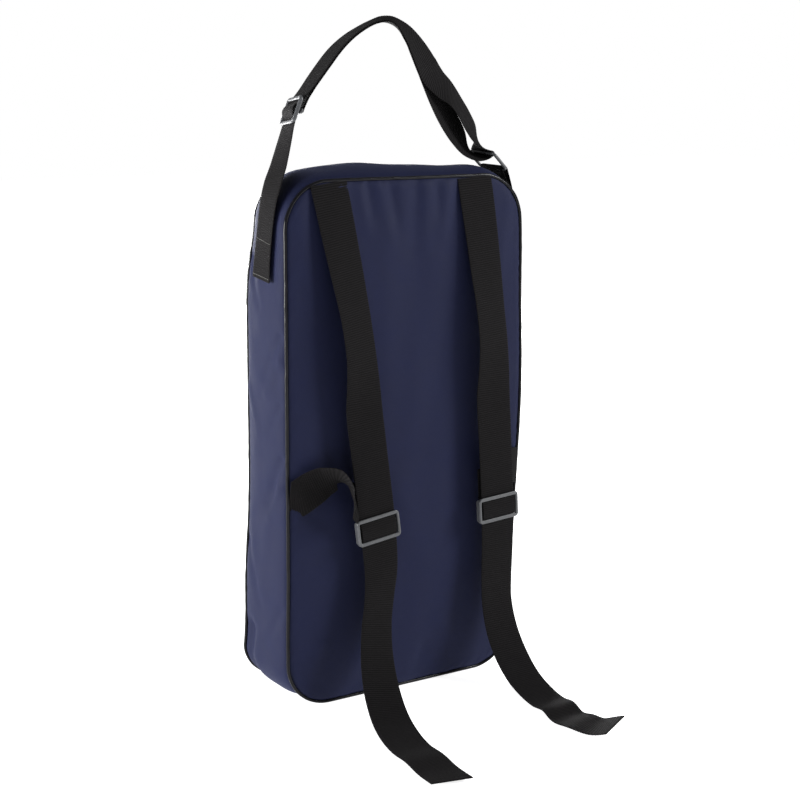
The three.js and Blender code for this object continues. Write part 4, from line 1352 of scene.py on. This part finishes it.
class SHOEBAG_OT_stage(bpy.types.Operator):
    """Adds the camera, the floor and the lights"""

    bl_idname = "shoebag.stage"
    bl_label = "Stage"

    def execute(self, context):
        scene = context.scene
        settings = scene.shoe_bag_stage
        camera = add_object("camera", bpy.data.cameras.new("camera"))
        camera.data.lens = settings.lens
        azimuth, elevation, roll = settings.azimuth, settings.elevation, settings.roll
        back = Vector((math.sin(azimuth) * math.cos(elevation), -math.cos(azimuth) * math.cos(elevation),
                       math.sin(elevation)))
        right = (-back).cross(Vector((0, 0, 1))).normalized()
        up = right.cross(-back)
        turned_right = math.cos(roll) * right + math.sin(roll) * up
        turned_up = -math.sin(roll) * right + math.cos(roll) * up
        turn = Matrix((turned_right, turned_up, back)).transposed()
        target = Vector((-0.007, -0.040, 0.28715))
        camera.matrix_world = Matrix.Translation(target + settings.distance * back) @ turn.to_4x4()
        scene.camera = camera

        mesh = bpy.data.meshes.new("floor")
        mesh.from_pydata([(-6, -6, -0.0006), (6, -6, -0.0006), (6, 6, -0.0006), (-6, 6, -0.0006)], [],
                         [(0, 1, 2, 3)])
        mesh.materials.append(finish("floor"))
        add_object("floor", mesh)

        for name, place, aim, size, power in (
                ("main_softbox", (1.55, -1.30, 1.35), (0, 0, 0.3), (0.8, 0.8), 1),
                ("side_softbox", (-2.1, 0.45, 0.36), (0, 0, 0.28), (1.6, 0.66), 1.65),
                ("front_softbox", (0.7, 2.2, 0.34), (0, 0, 0.28), (1.6, 0.6), 1.2)):
            light = bpy.data.lights.new(name, "AREA")
            light.shape = "RECTANGLE"
            light.size, light.size_y = size
            light.energy = settings.light * power
            lamp = add_object(name, light)
            lamp.location = place
            lamp.rotation_euler = (Vector(aim) - Vector(place)).to_track_quat("-Z", "Y").to_euler()

        # a soft room of even light, which the camera sees as plain white
        scene.world = bpy.data.worlds.new("soft_room")
        scene.world.use_nodes = True
        tree = scene.world.node_tree
        room = tree.nodes["Background"]
        backdrop = tree.nodes.new("ShaderNodeBackground")
        for shade, strength in ((room, 0.25), (backdrop, 1.0)):
            shade.inputs["Color"].default_value = (1, 1, 1, 1)
            shade.inputs["Strength"].default_value = strength
        seen = tree.nodes.new("ShaderNodeLightPath")
        either = tree.nodes.new("ShaderNodeMixShader")
        for output, socket in ((seen.outputs["Is Camera Ray"], either.inputs[0]),
                               (room.outputs[0], either.inputs[1]), (backdrop.outputs[0], either.inputs[2]),
                               (either.outputs[0], tree.nodes["World Output"].inputs[0])):
            tree.links.new(output, socket)
        scene.view_settings.view_transform = "Standard"
        return {"FINISHED"}


class SHOEBAG_PT_build(bpy.types.Panel):
    """Lists the bag's pieces in the order in which they are built"""

    bl_label = "Golf Shoe Bag"
    bl_idname = "SHOEBAG_PT_build"
    bl_space_type = "VIEW_3D"
    bl_region_type = "UI"
    bl_category = "Shoe Bag"

    def draw(self, context):
        for name in GROUPS:
            group = getattr(context.scene, name)
            box = self.layout.box()
            for key in group.__annotations__:
                box.prop(group, key)
        for operator in OPERATORS:
            self.layout.operator(operator.bl_idname)


GROUPS = {
    "shoe_bag_cloth": ShoeBagCloth,
    "shoe_bag_webbing": ShoeBagWebbing,
    "shoe_bag_trim": ShoeBagTrim,
    "shoe_bag_stage": ShoeBagStage,
}
OPERATORS = (
    SHOEBAG_OT_stage, SHOEBAG_OT_gusset, SHOEBAG_OT_back_panel, SHOEBAG_OT_seams, SHOEBAG_OT_front,
    SHOEBAG_OT_zip, SHOEBAG_OT_stitching, SHOEBAG_OT_carry_strap, SHOEBAG_OT_back_straps,
    SHOEBAG_OT_lower_anchors,
)
CLASSES = (*GROUPS.values(), *OPERATORS, SHOEBAG_PT_build)


def register():
    for each in CLASSES:
        bpy.utils.register_class(each)
    for name, group in GROUPS.items():
        setattr(bpy.types.Scene, name, PointerProperty(type=group))


def unregister():
    for name in GROUPS:
        delattr(bpy.types.Scene, name)
    for each in reversed(CLASSES):
        bpy.utils.unregister_class(each)


def main():
    register()
    for operator in OPERATORS:
        group, name = operator.bl_idname.split(".")
        getattr(getattr(bpy.ops, group), name)()


if __name__ == "__main__":
    main()
